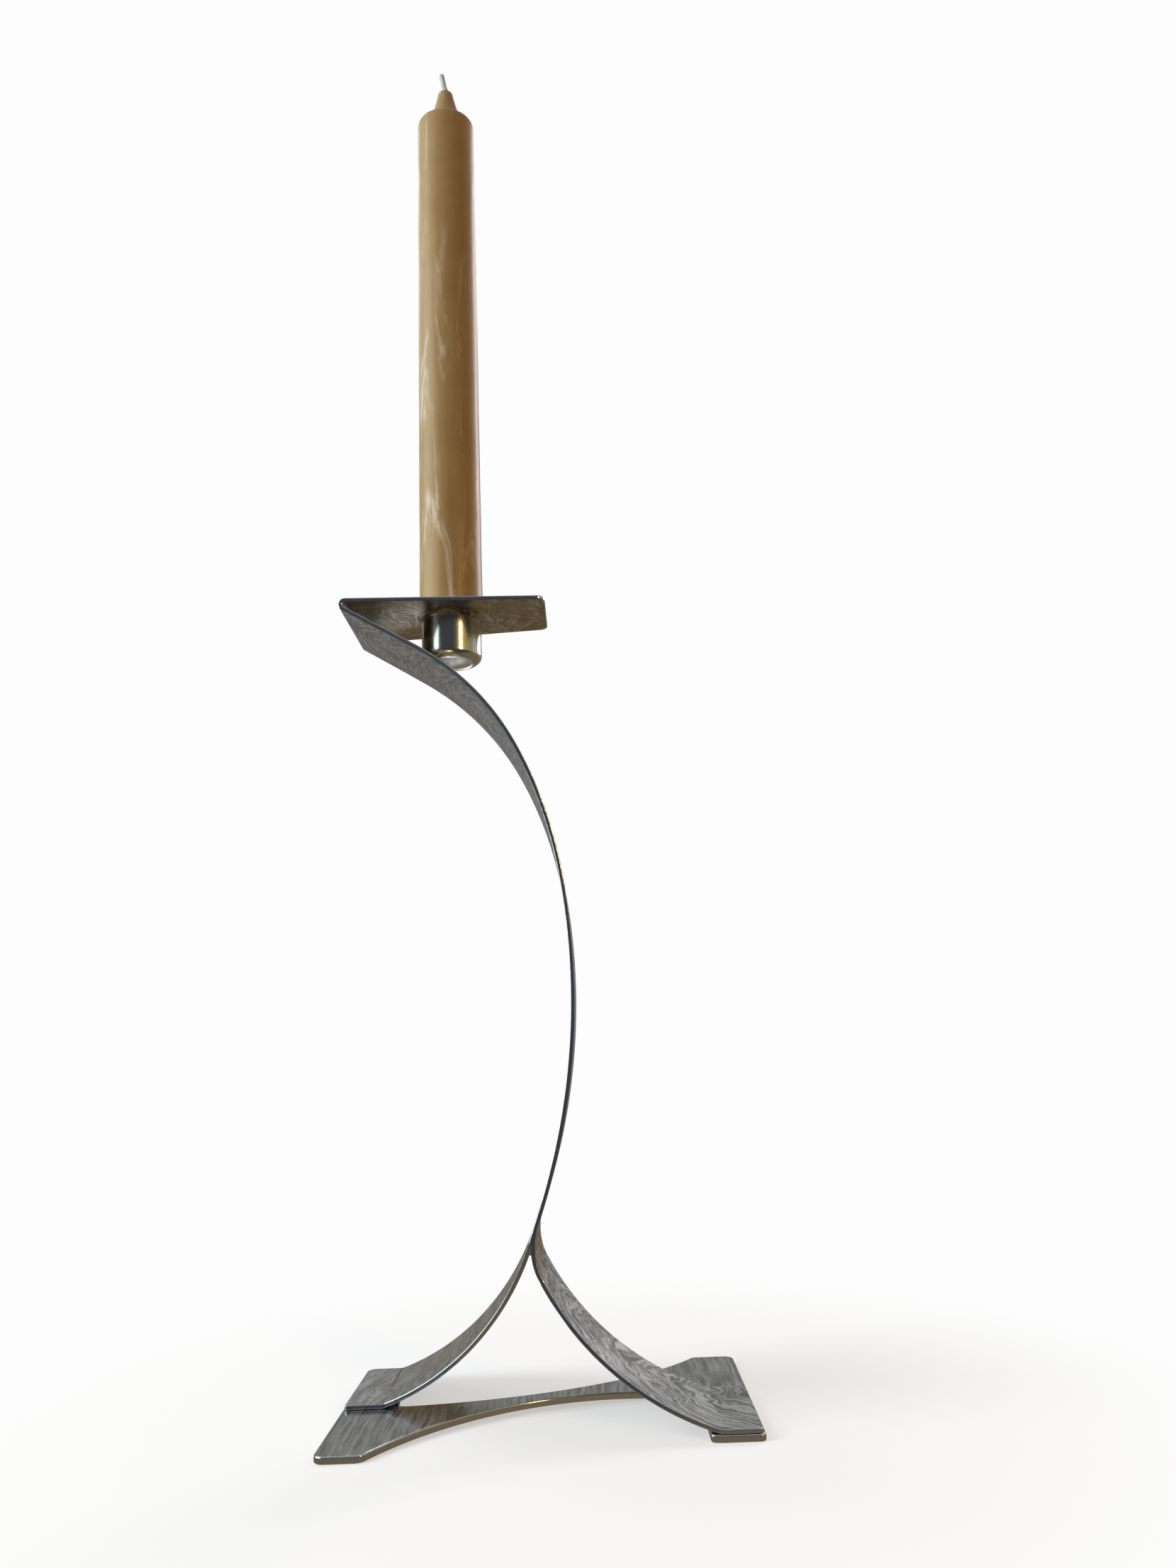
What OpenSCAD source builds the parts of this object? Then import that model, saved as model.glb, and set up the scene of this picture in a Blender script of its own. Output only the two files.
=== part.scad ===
// Candlestick bent from flat silver strip, with its candle.
//
// A drip plate folds back into a stem that sweeps down and opens into two splayed legs.
// Each leg ends in a flat foot soldered to one half of a bow-tie base plate. A cup hangs
// under the drip plate and holds the candle.
//
// Frame: +Z up, the base plate rests on Z = 0 and is centred on the origin. X runs along
// the base plate from the left foot to the right foot. Y runs from front to back.

/* [Base plate] */
// Length of the base plate from end to end
base_l = 123; // [116:1:150]
// Thickness of the base plate
base_t = 2; // [1.6:0.1:3]
// Distance from the middle to the outer edge of the free lobes
lobe_reach = 43; // [40:0.5:56]
// Length of the straight outer edge of a free lobe
lobe_edge_l = 13.5; // [8:0.5:18]
// Length of the tab under each foot
tab_l = 15.2; // [13:0.2:20]
// Length of the flat pad at each end
pad_l = 11.6; // [11:0.2:13]
// Height of the arch between the pads
arch_rise = 1.4; // [0.8:0.1:4]
// Distance along X from the middle to the summit of a concave edge
summit_x = 31.7; // [26:0.1:36]
// How far the summit of a concave edge lies past the middle line
summit_y = 1.9; // [0:0.1:4]
// Corner radius of the free lobes
lobe_corner_r = 3.2; // [1:0.2:5]
// Corner radius of the tabs under the feet
tab_corner_r = 1.6; // [0.6:0.2:3]
// Radius of the inner corner between a concave edge and a tab
inner_corner_r = 5; // [3:0.5:7]

/* [Strip] */
// Thickness of the bent strip
strip_t = 1.3; // [1:0.1:2]
// Width of the legs and of the stem where they meet
strip_w = 40.6; // [34:0.2:50]
// Widest part of the stem
belly_w = 52.2; // [42:0.2:62]
// Width of the strip at the fold below the drip plate
fold_w = 42.6; // [36:0.2:52]

/* [Feet and legs] */
// Length of the flat foot
foot_l = 10.9; // [8:0.1:10.9]
// Gap from the end of the base plate to the end of a foot
foot_inset = 0.65; // [0.2:0.05:1.5]
// How far a foot is moved sideways from the middle line
foot_shift = 17.7; // [10:0.1:19]
// Corner radius of the feet
foot_corner_r = 3; // [1:0.2:5]
// Radius of the bend between foot and leg
crease_r = 4; // [2:0.5:8]
// Slope at which the right leg leaves its foot
right_leg_slope = 14; // [8:1:24]
// Slope at which the left leg leaves its foot
left_leg_slope = 21; // [12:1:28]

/* [Stem] */
// Where the right leg ends and the bend at the fork starts, along X
fork_x = 0.6; // [-4:0.1:6]
// Height at which the bend at the fork starts
fork_z = 39.2; // [34:0.1:46]
// Radius of the bend at the fork
fork_r = 18.9; // [12:0.1:26]
// Lean of the stem above the fork, from upright
stem_lean = 20.7; // [14:0.1:26]
// Radius of the lower sweep of the stem
sweep_low_r = 202; // [160:1:240]
// Radius of the middle sweep of the stem
sweep_mid_r = 137; // [110:1:160]
// Radius of the upper sweep of the stem
sweep_top_r = 90.7; // [70:1:110]
// Angle turned by the lower sweep past upright
sweep_low_turn = 10; // [6:0.5:14]
// Angle turned by the middle sweep
sweep_mid_turn = 16.8; // [12:0.5:20]
// Slope of the straight top of the stem, from level
top_slope = 31.1; // [26:0.5:36]
// Length of the straight top of the stem
top_l = 26; // [18:0.5:34]
// Radius of the fold at the middle of the strip
fold_r = 1.5; // [1.2:0.1:3]

/* [Drip plate] */
// Height of the underside of the drip plate above the table
plate_z = 253.2; // [251:0.5:320]
// Length of the drip plate from the fold to its free end
plate_l = 66.1; // [54:0.1:80]
// Width of the drip plate at its free end
plate_end_w = 30.7; // [28:0.1:42]
// Sideways set of the free end
plate_skew = -2.4; // [-4:0.1:4]
// Corner radius of the free end
plate_corner_r = 3; // [1:0.2:6]

/* [Cup] */
// Gap between the cup's bottom edge and the stem below it
cup_clear = 0.5; // [0.3:0.1:3]
// Wall of the cup
cup_wall = 0.8; // [0.6:0.1:1.2]
// Depth of the cup below the drip plate
cup_h = 16.1; // [12:0.1:20]
// Outside radius of the cup's bottom edge
cup_edge_r = 2.6; // [1.4:0.1:4]

/* [Candle] */
// Diameter of the candle where it stands on the drip plate
candle_d = 22; // [20:0.1:26]
// Width of the shoulder on which the candle stands
candle_step = 1.7; // [1.2:0.1:2.5]
// Diameter of the candle below its shoulder
candle_top_d = 21.4; // [19:0.1:24]
// Height from the drip plate to the shoulder of the candle
candle_body_l = 197.6; // [120:0.1:240]
// Height of the rounded crown and the tip together
candle_tip_l = 16.6; // [10:0.1:20]
// Height of the rounded crown
crown_l = 2; // [1:0.1:6]
// Diameter of the tip where it leaves the crown
neck_d = 14; // [7:0.1:18]
// Clearance round the candle's foot in the cup
foot_clear = 0.2; // [0.1:0.05:0.4]
// Gap left under the candle's foot
foot_gap = 1.2; // [0.6:0.1:3]
// Diameter of the wick
wick_d = 2.2; // [1.6:0.1:3]
// Length of the wick above the wax
wick_l = 9.1; // [4:0.1:12]
// Lean of the wick, from upright
wick_lean = 10; // [5:1:30]
// Diameter of the leaning end of the wick
wick_end_d = 1.98; // [1.2:0.02:2.4]
// Height above the wax at which the wick leans over
wick_bend_l = 0.6; // [0.4:0.1:2]

/* [Solder] */
// Thickness of the solder between joined faces
solder_t = 0.15; // [0.05:0.05:0.3]
// Distance of the solder from the edges of a foot
solder_inset = 0.8; // [0.4:0.1:2]
// Size of the solder fillet round the cup
fillet_r = 1.5; // [0.8:0.1:2.5]

/* [Hidden] */
silver = [0.66, 0.66, 0.65];
solder_grey = [0.56, 0.55, 0.52];
wax = [0.80, 0.70, 0.50];
cotton = [0.93, 0.95, 0.95];
ample = 140;                     // wider than any strip
fine = 96;                       // facets of a round of a few millimetres
lap = 0.05;                      // overlap of one run of a strip with the run before it
ease = 0.01;                     // step in thickness that keeps the faces of two runs apart

half_l = base_l / 2;
pad_x = half_l - pad_l;
tab_x = half_l - tab_l;
tab_reach = foot_shift + strip_w / 2;
arch_r = (pad_x * pad_x + arch_rise * arch_rise) / (2 * arch_rise);
lobe_x = half_l - lobe_edge_l;
edge_r = (pow(summit_x + lobe_x, 2) + pow(summit_y + lobe_reach, 2)) / (2 * (summit_y + lobe_reach));
foot_end_x = half_l - foot_inset;
foot_z = base_t + solder_t + strip_t / 2;

// A pose is [x, z, heading] on the middle line of a strip. A run is [radius, turn], or
// [0, length] where it is straight. A positive turn is to the left of the heading.
function arc_centre(p, run) =
    let (side = sign(run[1])) [p[0] - side * run[0] * sin(p[2]), p[1] + side * run[0] * cos(p[2])];
function part_way(p, run, share) =
    run[0] == 0
    ? [p[0] + share * run[1] * cos(p[2]), p[1] + share * run[1] * sin(p[2]), p[2]]
    : let (c = arc_centre(p, run), h = p[2] + share * run[1], side = sign(run[1]))
      [c[0] + side * run[0] * sin(h), c[1] - side * run[0] * cos(h), h];
function poses(start, runs) =
    [for (i = 0, p = start; i <= len(runs); p = i < len(runs) ? part_way(p, runs[i], 1) : p, i = i + 1) p];
function run_length(run) = run[0] == 0 ? run[1] : run[0] * abs(run[1]) * PI / 180;
function total(v, n) = n == 0 ? 0 : v[n - 1] + total(v, n - 1);

// The arc that leaves pose p along its heading and passes through point q
function arc_to(p, q) =
    let (dx = q[0] - p[0], dz = q[1] - p[1], chord = norm([dx, dz]), half_turn = atan2(dz, dx) - p[2])
    [chord / (2 * sin(abs(half_turn))), 2 * half_turn];

// Right foot and leg, from the end of the foot up to the fork
right_foot_runs = [[0, foot_l], [crease_r, -right_leg_slope]];
right_foot = poses([foot_end_x, foot_z, 180], right_foot_runs);
right_arc = arc_to(right_foot[2], [fork_x, fork_z]);
fork_pose = part_way(right_foot[2], right_arc, 1);
fork_turn = fork_pose[2] - (90 - stem_lean);
fork_centre = arc_centre(fork_pose, [fork_r, -fork_turn]);

// Stem, from the fork up to the fold. The upright run takes up the height that is left.
top_turn = 90 - top_slope - sweep_low_turn - sweep_mid_turn;
fork_runs = [[fork_r, -fork_turn], [sweep_low_r, stem_lean]];
fork_poses = poses(fork_pose, fork_runs);
upper_runs = [[sweep_low_r, sweep_low_turn], [sweep_mid_r, sweep_mid_turn],
              [sweep_top_r, top_turn], [0, top_l], [fold_r, -(180 - top_slope)]];
upper_rise = poses([0, 0, 90], upper_runs)[5][1];
upright_l = plate_z + strip_t / 2 - upper_rise - fork_poses[2][1];
stem_runs = concat([fork_runs[1], [0, upright_l]], [for (i = [0 : 3]) upper_runs[i]]);
stem_poses = poses(fork_poses[1], stem_runs);
fold_pose = stem_poses[len(stem_runs)];
plate_pose = part_way(fold_pose, upper_runs[4], 1);
plate_end_x = plate_pose[0] + plate_l;
plate_top = plate_z + strip_t;

// The candle's foot, the bore that it stands in, and the cup round that
foot_r = candle_d / 2 - candle_step;
bore_r = foot_r + foot_clear;
cup_r = bore_r + cup_wall;

// The cup hangs as near to the fold as the stem's straight top lets its bottom edge come
edge_rise = plate_z - cup_h + cup_edge_r - fold_pose[1];
edge_gap = cup_edge_r + strip_t / 2 + cup_clear;
edge_x = fold_pose[0] + (edge_gap - edge_rise * cos(top_slope)) / sin(top_slope);
cup_x = edge_x + cup_r - cup_edge_r;
candle_foot_z = plate_z - cup_h + cup_wall + foot_gap;
wax_top = plate_top + candle_body_l + candle_tip_l;

// Left foot and leg, from the end of the foot up to the outer face of the bend at the fork
left_foot_runs = [[0, foot_l], [crease_r, left_leg_slope]];
left_foot = poses([-foot_end_x, foot_z, 0], left_foot_runs);
meet_angle = 176;
meet_r = fork_r + strip_t / 2;
meet_point = [fork_centre[0] + meet_r * cos(meet_angle), fork_centre[1] + meet_r * sin(meet_angle)];
left_arc = arc_to(left_foot[2], meet_point);
cope_l = 4 * strip_t;            // run of the leg past the meeting point before it is coped

// Half width of the stem by its share of the way from the fork to the fold
belly_share = 0.66;
function swell(u) = (1 - cos(180 * u)) / 2;
function stem_half_w(u) =
    u < belly_share
    ? (strip_w + (belly_w - strip_w) * swell(u / belly_share)) / 2
    : (belly_w + (fold_w - belly_w) * swell((u - belly_share) / (1 - belly_share))) / 2;

// Corner of a polygon rounded to radius r: p is the corner, a and b are its neighbours
function toward(p, q, d) = p + (q - p) * d / norm(q - p);
function corner(a, p, b, r) =
    let (u = (a - p) / norm(a - p), v = (b - p) / norm(b - p), half = acos(u * v) / 2,
         d = r / tan(half), c = p + (u + v) / norm(u + v) * r / sin(half),
         s = p + u * d - c, e = p + v * d - c, a0 = atan2(s[1], s[0]),
         a1 = atan2(e[1], e[0]), turn = a1 - a0,
         sweep = turn > 180 ? turn - 360 : turn < -180 ? turn + 360 : turn)
    [for (i = [0 : 8]) c + r * [cos(a0 + sweep * i / 8), sin(a0 + sweep * i / 8)]];

// Solid strip along a chain of runs, lying in the XZ plane and w wide along Y. Each run laps
// over the end of the run before it, and differs from it in thickness by ease, so that the
// faces of the two never coincide.
module strip_band(start, runs, w) {
    p = poses(start, runs);
    last = len(runs) - 1;
    rotate([90, 0, 0])
        for (i = [0 : last]) {
            run = runs[i];
            over = i == 0 ? 0 : lap;
            t = strip_t - ease * (i == last ? 0 : i % 2 == 1 ? 1 : i == last - 1 ? 2 : 0);
            if (run[0] == 0) {
                if (run[1] > 0)
                    translate([p[i][0], p[i][1], -w / 2]) rotate([0, 0, p[i][2]])
                        translate([-over, -t / 2, 0]) cube([run[1] + over, t, w]);
            } else {
                c = arc_centre(p[i], run);
                more = over / run[0] * 180 / PI;
                first = run[1] > 0 ? p[i][2] - 90 - more : p[i][2] + 90 + run[1];
                translate([c[0], c[1], -w / 2]) rotate([0, 0, first])
                    rotate_extrude(angle = abs(run[1]) + more, $fn = run[0] > 30 ? 360 : fine)
                        translate([run[0] - t / 2, 0]) square([t, w]);
            }
        }
}

// Outline of a leg from above: its width stays strip_w while its middle line moves
// sideways to the foot. side is 1 for the right leg and -1 for the left leg.
module leg_outline(side, foot_poses, arc, past) {
    steps = 16;
    crease = foot_poses[1];
    way = [for (i = [0 : steps]) let (q = part_way(foot_poses[2], arc, i / steps))
           [q[0], -side * foot_shift * (1 - i / steps)]];
    beyond = [way[steps][0] - side * past, 0];
    middle = concat(way, [beyond]);
    end_x = side * foot_end_x;
    front = [for (m = middle) [m[0], m[1] - strip_w / 2]];
    back = [for (i = [len(middle) - 1 : -1 : 0]) [middle[i][0], middle[i][1] + strip_w / 2]];
    outer = side > 0 ? [end_x, -foot_shift + strip_w / 2] : [end_x, foot_shift + strip_w / 2];
    inner = [end_x, -side * foot_shift - strip_w / 2];
    points = concat(front, back,
        corner([crease[0], outer[1]], outer, inner, side > 0 ? tab_corner_r / 2 : foot_corner_r),
        corner(outer, inner, [crease[0], inner[1]], tab_corner_r / 2));
    linear_extrude(height = fork_z + ample) polygon(points);
}

// The bow-tie outline of the base plate. A concave bite is taken from the front edge, and
// the same bite, turned half round, from the rear edge.
module edge_bite() {
    bite_y = summit_y - edge_r;
    round_r = inner_corner_r;
    top_y = bite_y + sqrt(pow(edge_r - round_r, 2) - pow(tab_x - round_r - summit_x, 2));
    difference() {
        intersection() {
            translate([summit_x, bite_y, -1]) cylinder(r = edge_r, h = base_t + arch_rise + 2, $fn = 360);
            translate([tab_x - 2 * half_l, -2 * lobe_reach, -1])
                cube([2 * half_l, 3 * lobe_reach, base_t + arch_rise + 2]);
        }
        difference() {
            translate([tab_x - round_r, top_y, -2]) cube([2 * round_r, 2 * round_r, base_t + arch_rise + 4]);
            translate([tab_x - round_r, top_y, -3])
                cylinder(r = round_r, h = base_t + arch_rise + 6, $fn = fine);
        }
    }
}

module base_plate() {
    lobe_front = [-half_l, -lobe_reach];
    tab_front = [half_l, -tab_reach];
    half_outline = concat(
        corner([-half_l, 0], lobe_front, [-lobe_x, -lobe_reach], lobe_corner_r),
        [[-lobe_x + lobe_corner_r, -lobe_reach], [tab_x - lobe_corner_r, -tab_reach]],
        corner([tab_x, -tab_reach], tab_front, [half_l, 0], tab_corner_r));
    outline = concat(half_outline, [for (p = half_outline) -p]);
    color(silver)
        difference() {
            intersection() {
                translate([0, 0, -1]) linear_extrude(height = base_t + arch_rise + 2) polygon(outline);
                union() {
                    for (side = [0, 180])
                        rotate([0, 0, side]) translate([pad_x, -ample / 2, 0])
                            cube([pad_l + 1, ample, base_t]);
                    translate([0, ample / 2, arch_rise - arch_r]) rotate([90, 0, 0])
                        rotate([0, 0, 90 - asin(pad_x / arch_r)])
                            rotate_extrude(angle = 2 * asin(pad_x / arch_r), $fn = 720)
                                translate([arch_r, 0]) square([base_t, ample]);
                }
            }
            for (side = [0, 180])
                rotate([0, 0, side]) edge_bite();
        }
}

// Drip plate, stem, right leg and right foot in one bent strip
module main_strip() {
    leg_runs = concat(right_foot_runs, [right_arc, [fork_r, -fork_turn]], stem_runs,
                      [upper_runs[4], [0, plate_l]]);
    lengths = [for (r = stem_runs) run_length(r)];
    stem_l = total(lengths, len(stem_runs));
    steps = 8;
    rows = [for (i = [0 : len(stem_runs) - 1]) for (k = [0 : steps - 1])
            if (lengths[i] > 0)
            let (u = (total(lengths, i) + lengths[i] * k / steps) / stem_l)
            [stem_half_w(u), part_way(stem_poses[i], stem_runs[i], k / steps)[1]]];
    fold_z = fold_pose[1];
    side_points = concat([[strip_w / 2, fork_pose[1]]], rows, [[fold_w / 2, fold_z], [fold_w / 2, plate_z]]);
    mirrored = [for (i = [len(side_points) - 1 : -1 : 0]) [-side_points[i][0], side_points[i][1]]];
    free_front = [plate_end_x, plate_skew - plate_end_w / 2];
    free_rear = [plate_end_x, plate_skew + plate_end_w / 2];
    fold_front = [plate_pose[0], -fold_w / 2];
    fold_rear = [plate_pose[0], fold_w / 2];
    back_x = plate_pose[0] - 4 * fold_r - strip_t;
    color(silver)
        difference() {
            intersection() {
                strip_band([foot_end_x, foot_z, 180], leg_runs, ample);
                union() {
                    intersection() {
                        leg_outline(1, right_foot, right_arc, 0);
                        translate([fork_pose[0] - fork_r, -ample / 2, 0]) cube([ample, ample, fork_pose[1]]);
                    }
                    rotate([90, 0, 90]) translate([0, 0, -ample]) linear_extrude(height = 2 * ample)
                        polygon(concat(side_points, mirrored));
                    translate([0, 0, plate_z]) linear_extrude(height = 2 * strip_t)
                        polygon(concat([[back_x, fold_w / 2], [back_x, -fold_w / 2], fold_front],
                            corner(fold_front, free_front, free_rear, plate_corner_r),
                            corner(free_front, free_rear, fold_rear, plate_corner_r), [fold_rear]));
                }
            }
            translate([cup_x, 0, plate_z - 1]) cylinder(r = bore_r, h = strip_t + 2, $fn = fine);
        }
}

// Left leg and left foot, coped at the top to the outside of the bend at the fork
module left_leg() {
    top_run = [left_arc[0], cope_l / left_arc[0] * 180 / PI];
    color(silver)
        difference() {
            intersection() {
                strip_band([-foot_end_x, foot_z, 0], concat(left_foot_runs, [left_arc, top_run]), ample);
                leg_outline(-1, left_foot, left_arc, 3 * cope_l);
            }
            stem_side(solder_t, ample);
        }
}

// The space inside the outer face of the bend at the fork and of the sweep above it, grown
// by more on the side of the left leg
module stem_side(more, w) {
    sweep = fork_runs[1];
    centre = arc_centre(fork_poses[1], sweep);
    translate([fork_centre[0], w / 2, fork_centre[1]]) rotate([90, 0, 0])
        cylinder(r = meet_r + more, h = w, $fn = 360);
    translate([centre[0], w / 2, centre[1]]) rotate([90, 0, 0]) rotate([0, 0, -stem_lean])
        rotate_extrude(angle = stem_lean, $fn = 360)
            translate([sweep_low_r - strip_t / 2 - more, 0]) square([strip_t, w]);
}

// Half section of a column of radius r, from z up to the drip plate, its lower edge rounded
module cup_profile(r, z, edge) {
    translate([0, z + edge]) square([r, plate_z - z - edge]);
    translate([0, z]) square([r - edge, edge]);
    translate([r - edge, z + edge]) intersection() {
        circle(r = edge, $fn = fine);
        translate([0, -edge]) square([edge, edge]);
    }
}

// Deep drawn cup, open at the top, with a rounded bottom edge
module candle_cup() {
    color(silver)
        translate([cup_x, 0, 0]) difference() {
            rotate_extrude($fn = fine) cup_profile(cup_r, plate_z - cup_h, cup_edge_r);
            rotate_extrude($fn = fine)
                cup_profile(bore_r, plate_z - cup_h + cup_wall, cup_edge_r - cup_wall);
        }
}

// Hollow fillet of solder between the cup and the drip plate
module cup_solder() {
    color(solder_grey)
        translate([cup_x, 0, plate_z - fillet_r]) rotate_extrude($fn = fine)
            difference() {
                translate([cup_r, 0]) square([fillet_r, fillet_r]);
                translate([cup_r + fillet_r, 0]) circle(r = fillet_r, $fn = fine);
            }
}

// Thin layer of solder between the coped end of the left leg and the stem
module fork_solder() {
    color(solder_grey)
        difference() {
            intersection() {
                strip_band(part_way(left_foot[2], left_arc, 1 - cope_l / run_length(left_arc)),
                           [[0, 2 * cope_l]], strip_w - 2 * solder_inset);
                stem_side(solder_t, ample);
            }
            stem_side(-ease / 2, ample + 2);
        }
}

// Thin layer of solder under a foot
module foot_layer(side) {
    inner_x = foot_end_x - foot_l + solder_inset;
    outer_x = foot_end_x - solder_inset;
    w = strip_w - 2 * solder_inset;
    y = -side * foot_shift - w / 2;
    color(solder_grey)
        translate([side > 0 ? inner_x : -outer_x, y, base_t]) cube([outer_x - inner_x, w, solder_t]);
}

module left_foot_solder() {
    foot_layer(-1);
}

module right_foot_solder() {
    foot_layer(1);
}

// Candle with a foot in the cup, a shoulder on the drip plate, and a tip drawn out round the
// wick. The crown is a quarter ellipse. The tip is a cone with a rounded end.
module candle() {
    edge = cup_edge_r - cup_wall;
    shoulder_z = plate_top + candle_body_l;
    top_r = candle_top_d / 2;
    neck_r = neck_d / 2;
    end_r = wick_d / 2 + 1.9;        // where the cone runs into the rounded end
    end_l = 1.6;
    color(wax)
        translate([cup_x, 0, 0]) rotate_extrude($fn = fine)
            polygon(concat(
                [[wick_d / 2, candle_foot_z], [foot_r - edge, candle_foot_z], [foot_r, candle_foot_z + edge],
                 [foot_r, plate_top], [candle_d / 2, plate_top], [top_r, shoulder_z]],
                [for (a = [15 : 15 : 90])
                 [neck_r + (top_r - neck_r) * cos(a), shoulder_z + crown_l * sin(a)]],
                [for (a = [0 : 18 : 90])
                 [wick_d / 2 + (end_r - wick_d / 2) * cos(a), wax_top - end_l * (1 - sin(a))]]));
}

// Wick through the wax, with a thinner end that leans over above the tip
module wick() {
    bend_z = wax_top + wick_bend_l;
    start = 0.8;                     // how far the leaning end starts inside the upright part
    color(cotton) {
        translate([cup_x, 0, candle_foot_z]) cylinder(d = wick_d, h = bend_z - candle_foot_z, $fn = fine);
        translate([cup_x, 0, bend_z - start]) rotate([0, -wick_lean, 0])
            cylinder(d = wick_end_d, h = wick_l - wick_bend_l + start, $fn = fine);
    }
}

base_plate();
main_strip();
left_leg();
candle_cup();
cup_solder();
fork_solder();
left_foot_solder();
right_foot_solder();
candle();
wick();
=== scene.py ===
"""A candlestick bent from silver strip, with its candle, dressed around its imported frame.

Each part of the object is a class that holds its sizes in millimetres, works its surfaces out as
whole numpy arrays and gives each piece its finish. The sheet pieces start as flat blanks, whose
edges are rounded and which are then bent along a chain of arcs, as the real ones were.
"""

import logging
import math
from collections.abc import Callable
from dataclasses import dataclass, field
from enum import Enum
from typing import Any

import bpy
import numpy as np
import numpy.typing as npt
from mathutils import Matrix, Vector


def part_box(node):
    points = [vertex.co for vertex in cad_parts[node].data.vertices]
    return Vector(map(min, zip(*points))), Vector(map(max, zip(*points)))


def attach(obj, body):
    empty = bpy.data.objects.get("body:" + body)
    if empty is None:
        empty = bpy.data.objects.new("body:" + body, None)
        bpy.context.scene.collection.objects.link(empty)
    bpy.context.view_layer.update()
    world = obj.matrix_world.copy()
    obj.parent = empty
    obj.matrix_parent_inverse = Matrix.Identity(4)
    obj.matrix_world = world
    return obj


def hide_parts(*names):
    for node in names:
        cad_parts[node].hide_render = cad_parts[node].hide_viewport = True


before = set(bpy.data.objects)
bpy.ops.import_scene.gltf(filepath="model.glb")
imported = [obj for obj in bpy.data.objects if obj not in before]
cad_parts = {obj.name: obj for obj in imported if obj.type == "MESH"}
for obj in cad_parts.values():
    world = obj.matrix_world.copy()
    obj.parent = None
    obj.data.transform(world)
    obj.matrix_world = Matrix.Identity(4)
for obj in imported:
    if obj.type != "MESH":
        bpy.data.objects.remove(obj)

Array = npt.NDArray[np.float64]
Ints = npt.NDArray[np.int64]
Colour = tuple[float, float, float]
MM = 0.001
log = logging.getLogger("candlestick")


# ---------------------------------------------------------------------------------------------
# Paths and blanks
# ---------------------------------------------------------------------------------------------


@dataclass(frozen=True)
class Run:
    """One stretch of a strip's middle line in the X-Z plane, straight or a circular arc.

    Attributes:
        length: its length in millimetres.
        turn: the angle it turns to the left of its heading, in degrees; 0 is straight.
        step: the longest step between stations on it, in millimetres.
    """

    length: float
    turn: float = 0.0
    step: float = 1.1

    @classmethod
    def arc(cls, radius: float, turn: float, step: float = 1.1) -> "Run":
        """Returns an arc of this radius and turn.

        Args:
            radius: the arc's radius in millimetres.
            turn: the angle turned to the left, in degrees.
            step: the longest step between stations.

        Returns:
            The run.
        """
        return cls(radius * math.radians(abs(turn)), turn, step)


@dataclass(frozen=True)
class Pose:
    """A point of a middle line and the heading there, in millimetres and degrees."""

    x: float
    z: float
    heading: float

    def after(self, run: Run, share: float = 1.0) -> "Pose":
        """The pose that is a share of a run further on.

        Args:
            run: the run to follow.
            share: how much of it to follow, from 0 to 1.

        Returns:
            The new pose.
        """
        gone = run.length * share
        half = math.radians(run.turn * share / 2)
        chord = gone * (math.sin(half) / half if abs(half) > 1e-12 else 1.0)
        way = math.radians(self.heading) + half
        return Pose(
            self.x + chord * math.cos(way),
            self.z + chord * math.sin(way),
            self.heading + run.turn * share,
        )

    def arc_to(self, x: float, z: float, step: float = 1.1) -> Run:
        """Returns the arc that leaves along the heading and passes through a point.

        Args:
            x: the point's X in millimetres.
            z: the point's Z in millimetres.
            step: the longest step between stations.

        Returns:
            The run, which ends at the point.
        """
        chord = math.hypot(x - self.x, z - self.z)
        half = math.degrees(math.atan2(z - self.z, x - self.x)) - self.heading
        half = (half + 180) % 360 - 180
        return Run.arc(chord / (2 * math.sin(math.radians(abs(half)))), 2 * half, step)

    def centre(self, radius: float, turn: float) -> tuple[float, float]:
        """Returns the centre of the arc of this radius that starts here.

        Args:
            radius: the arc's radius.
            turn: the angle that it turns, whose sign gives its side.

        Returns:
            X and Z of the centre.
        """
        side = math.copysign(radius, turn)
        way = math.radians(self.heading)
        return self.x - side * math.sin(way), self.z + side * math.cos(way)


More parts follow.
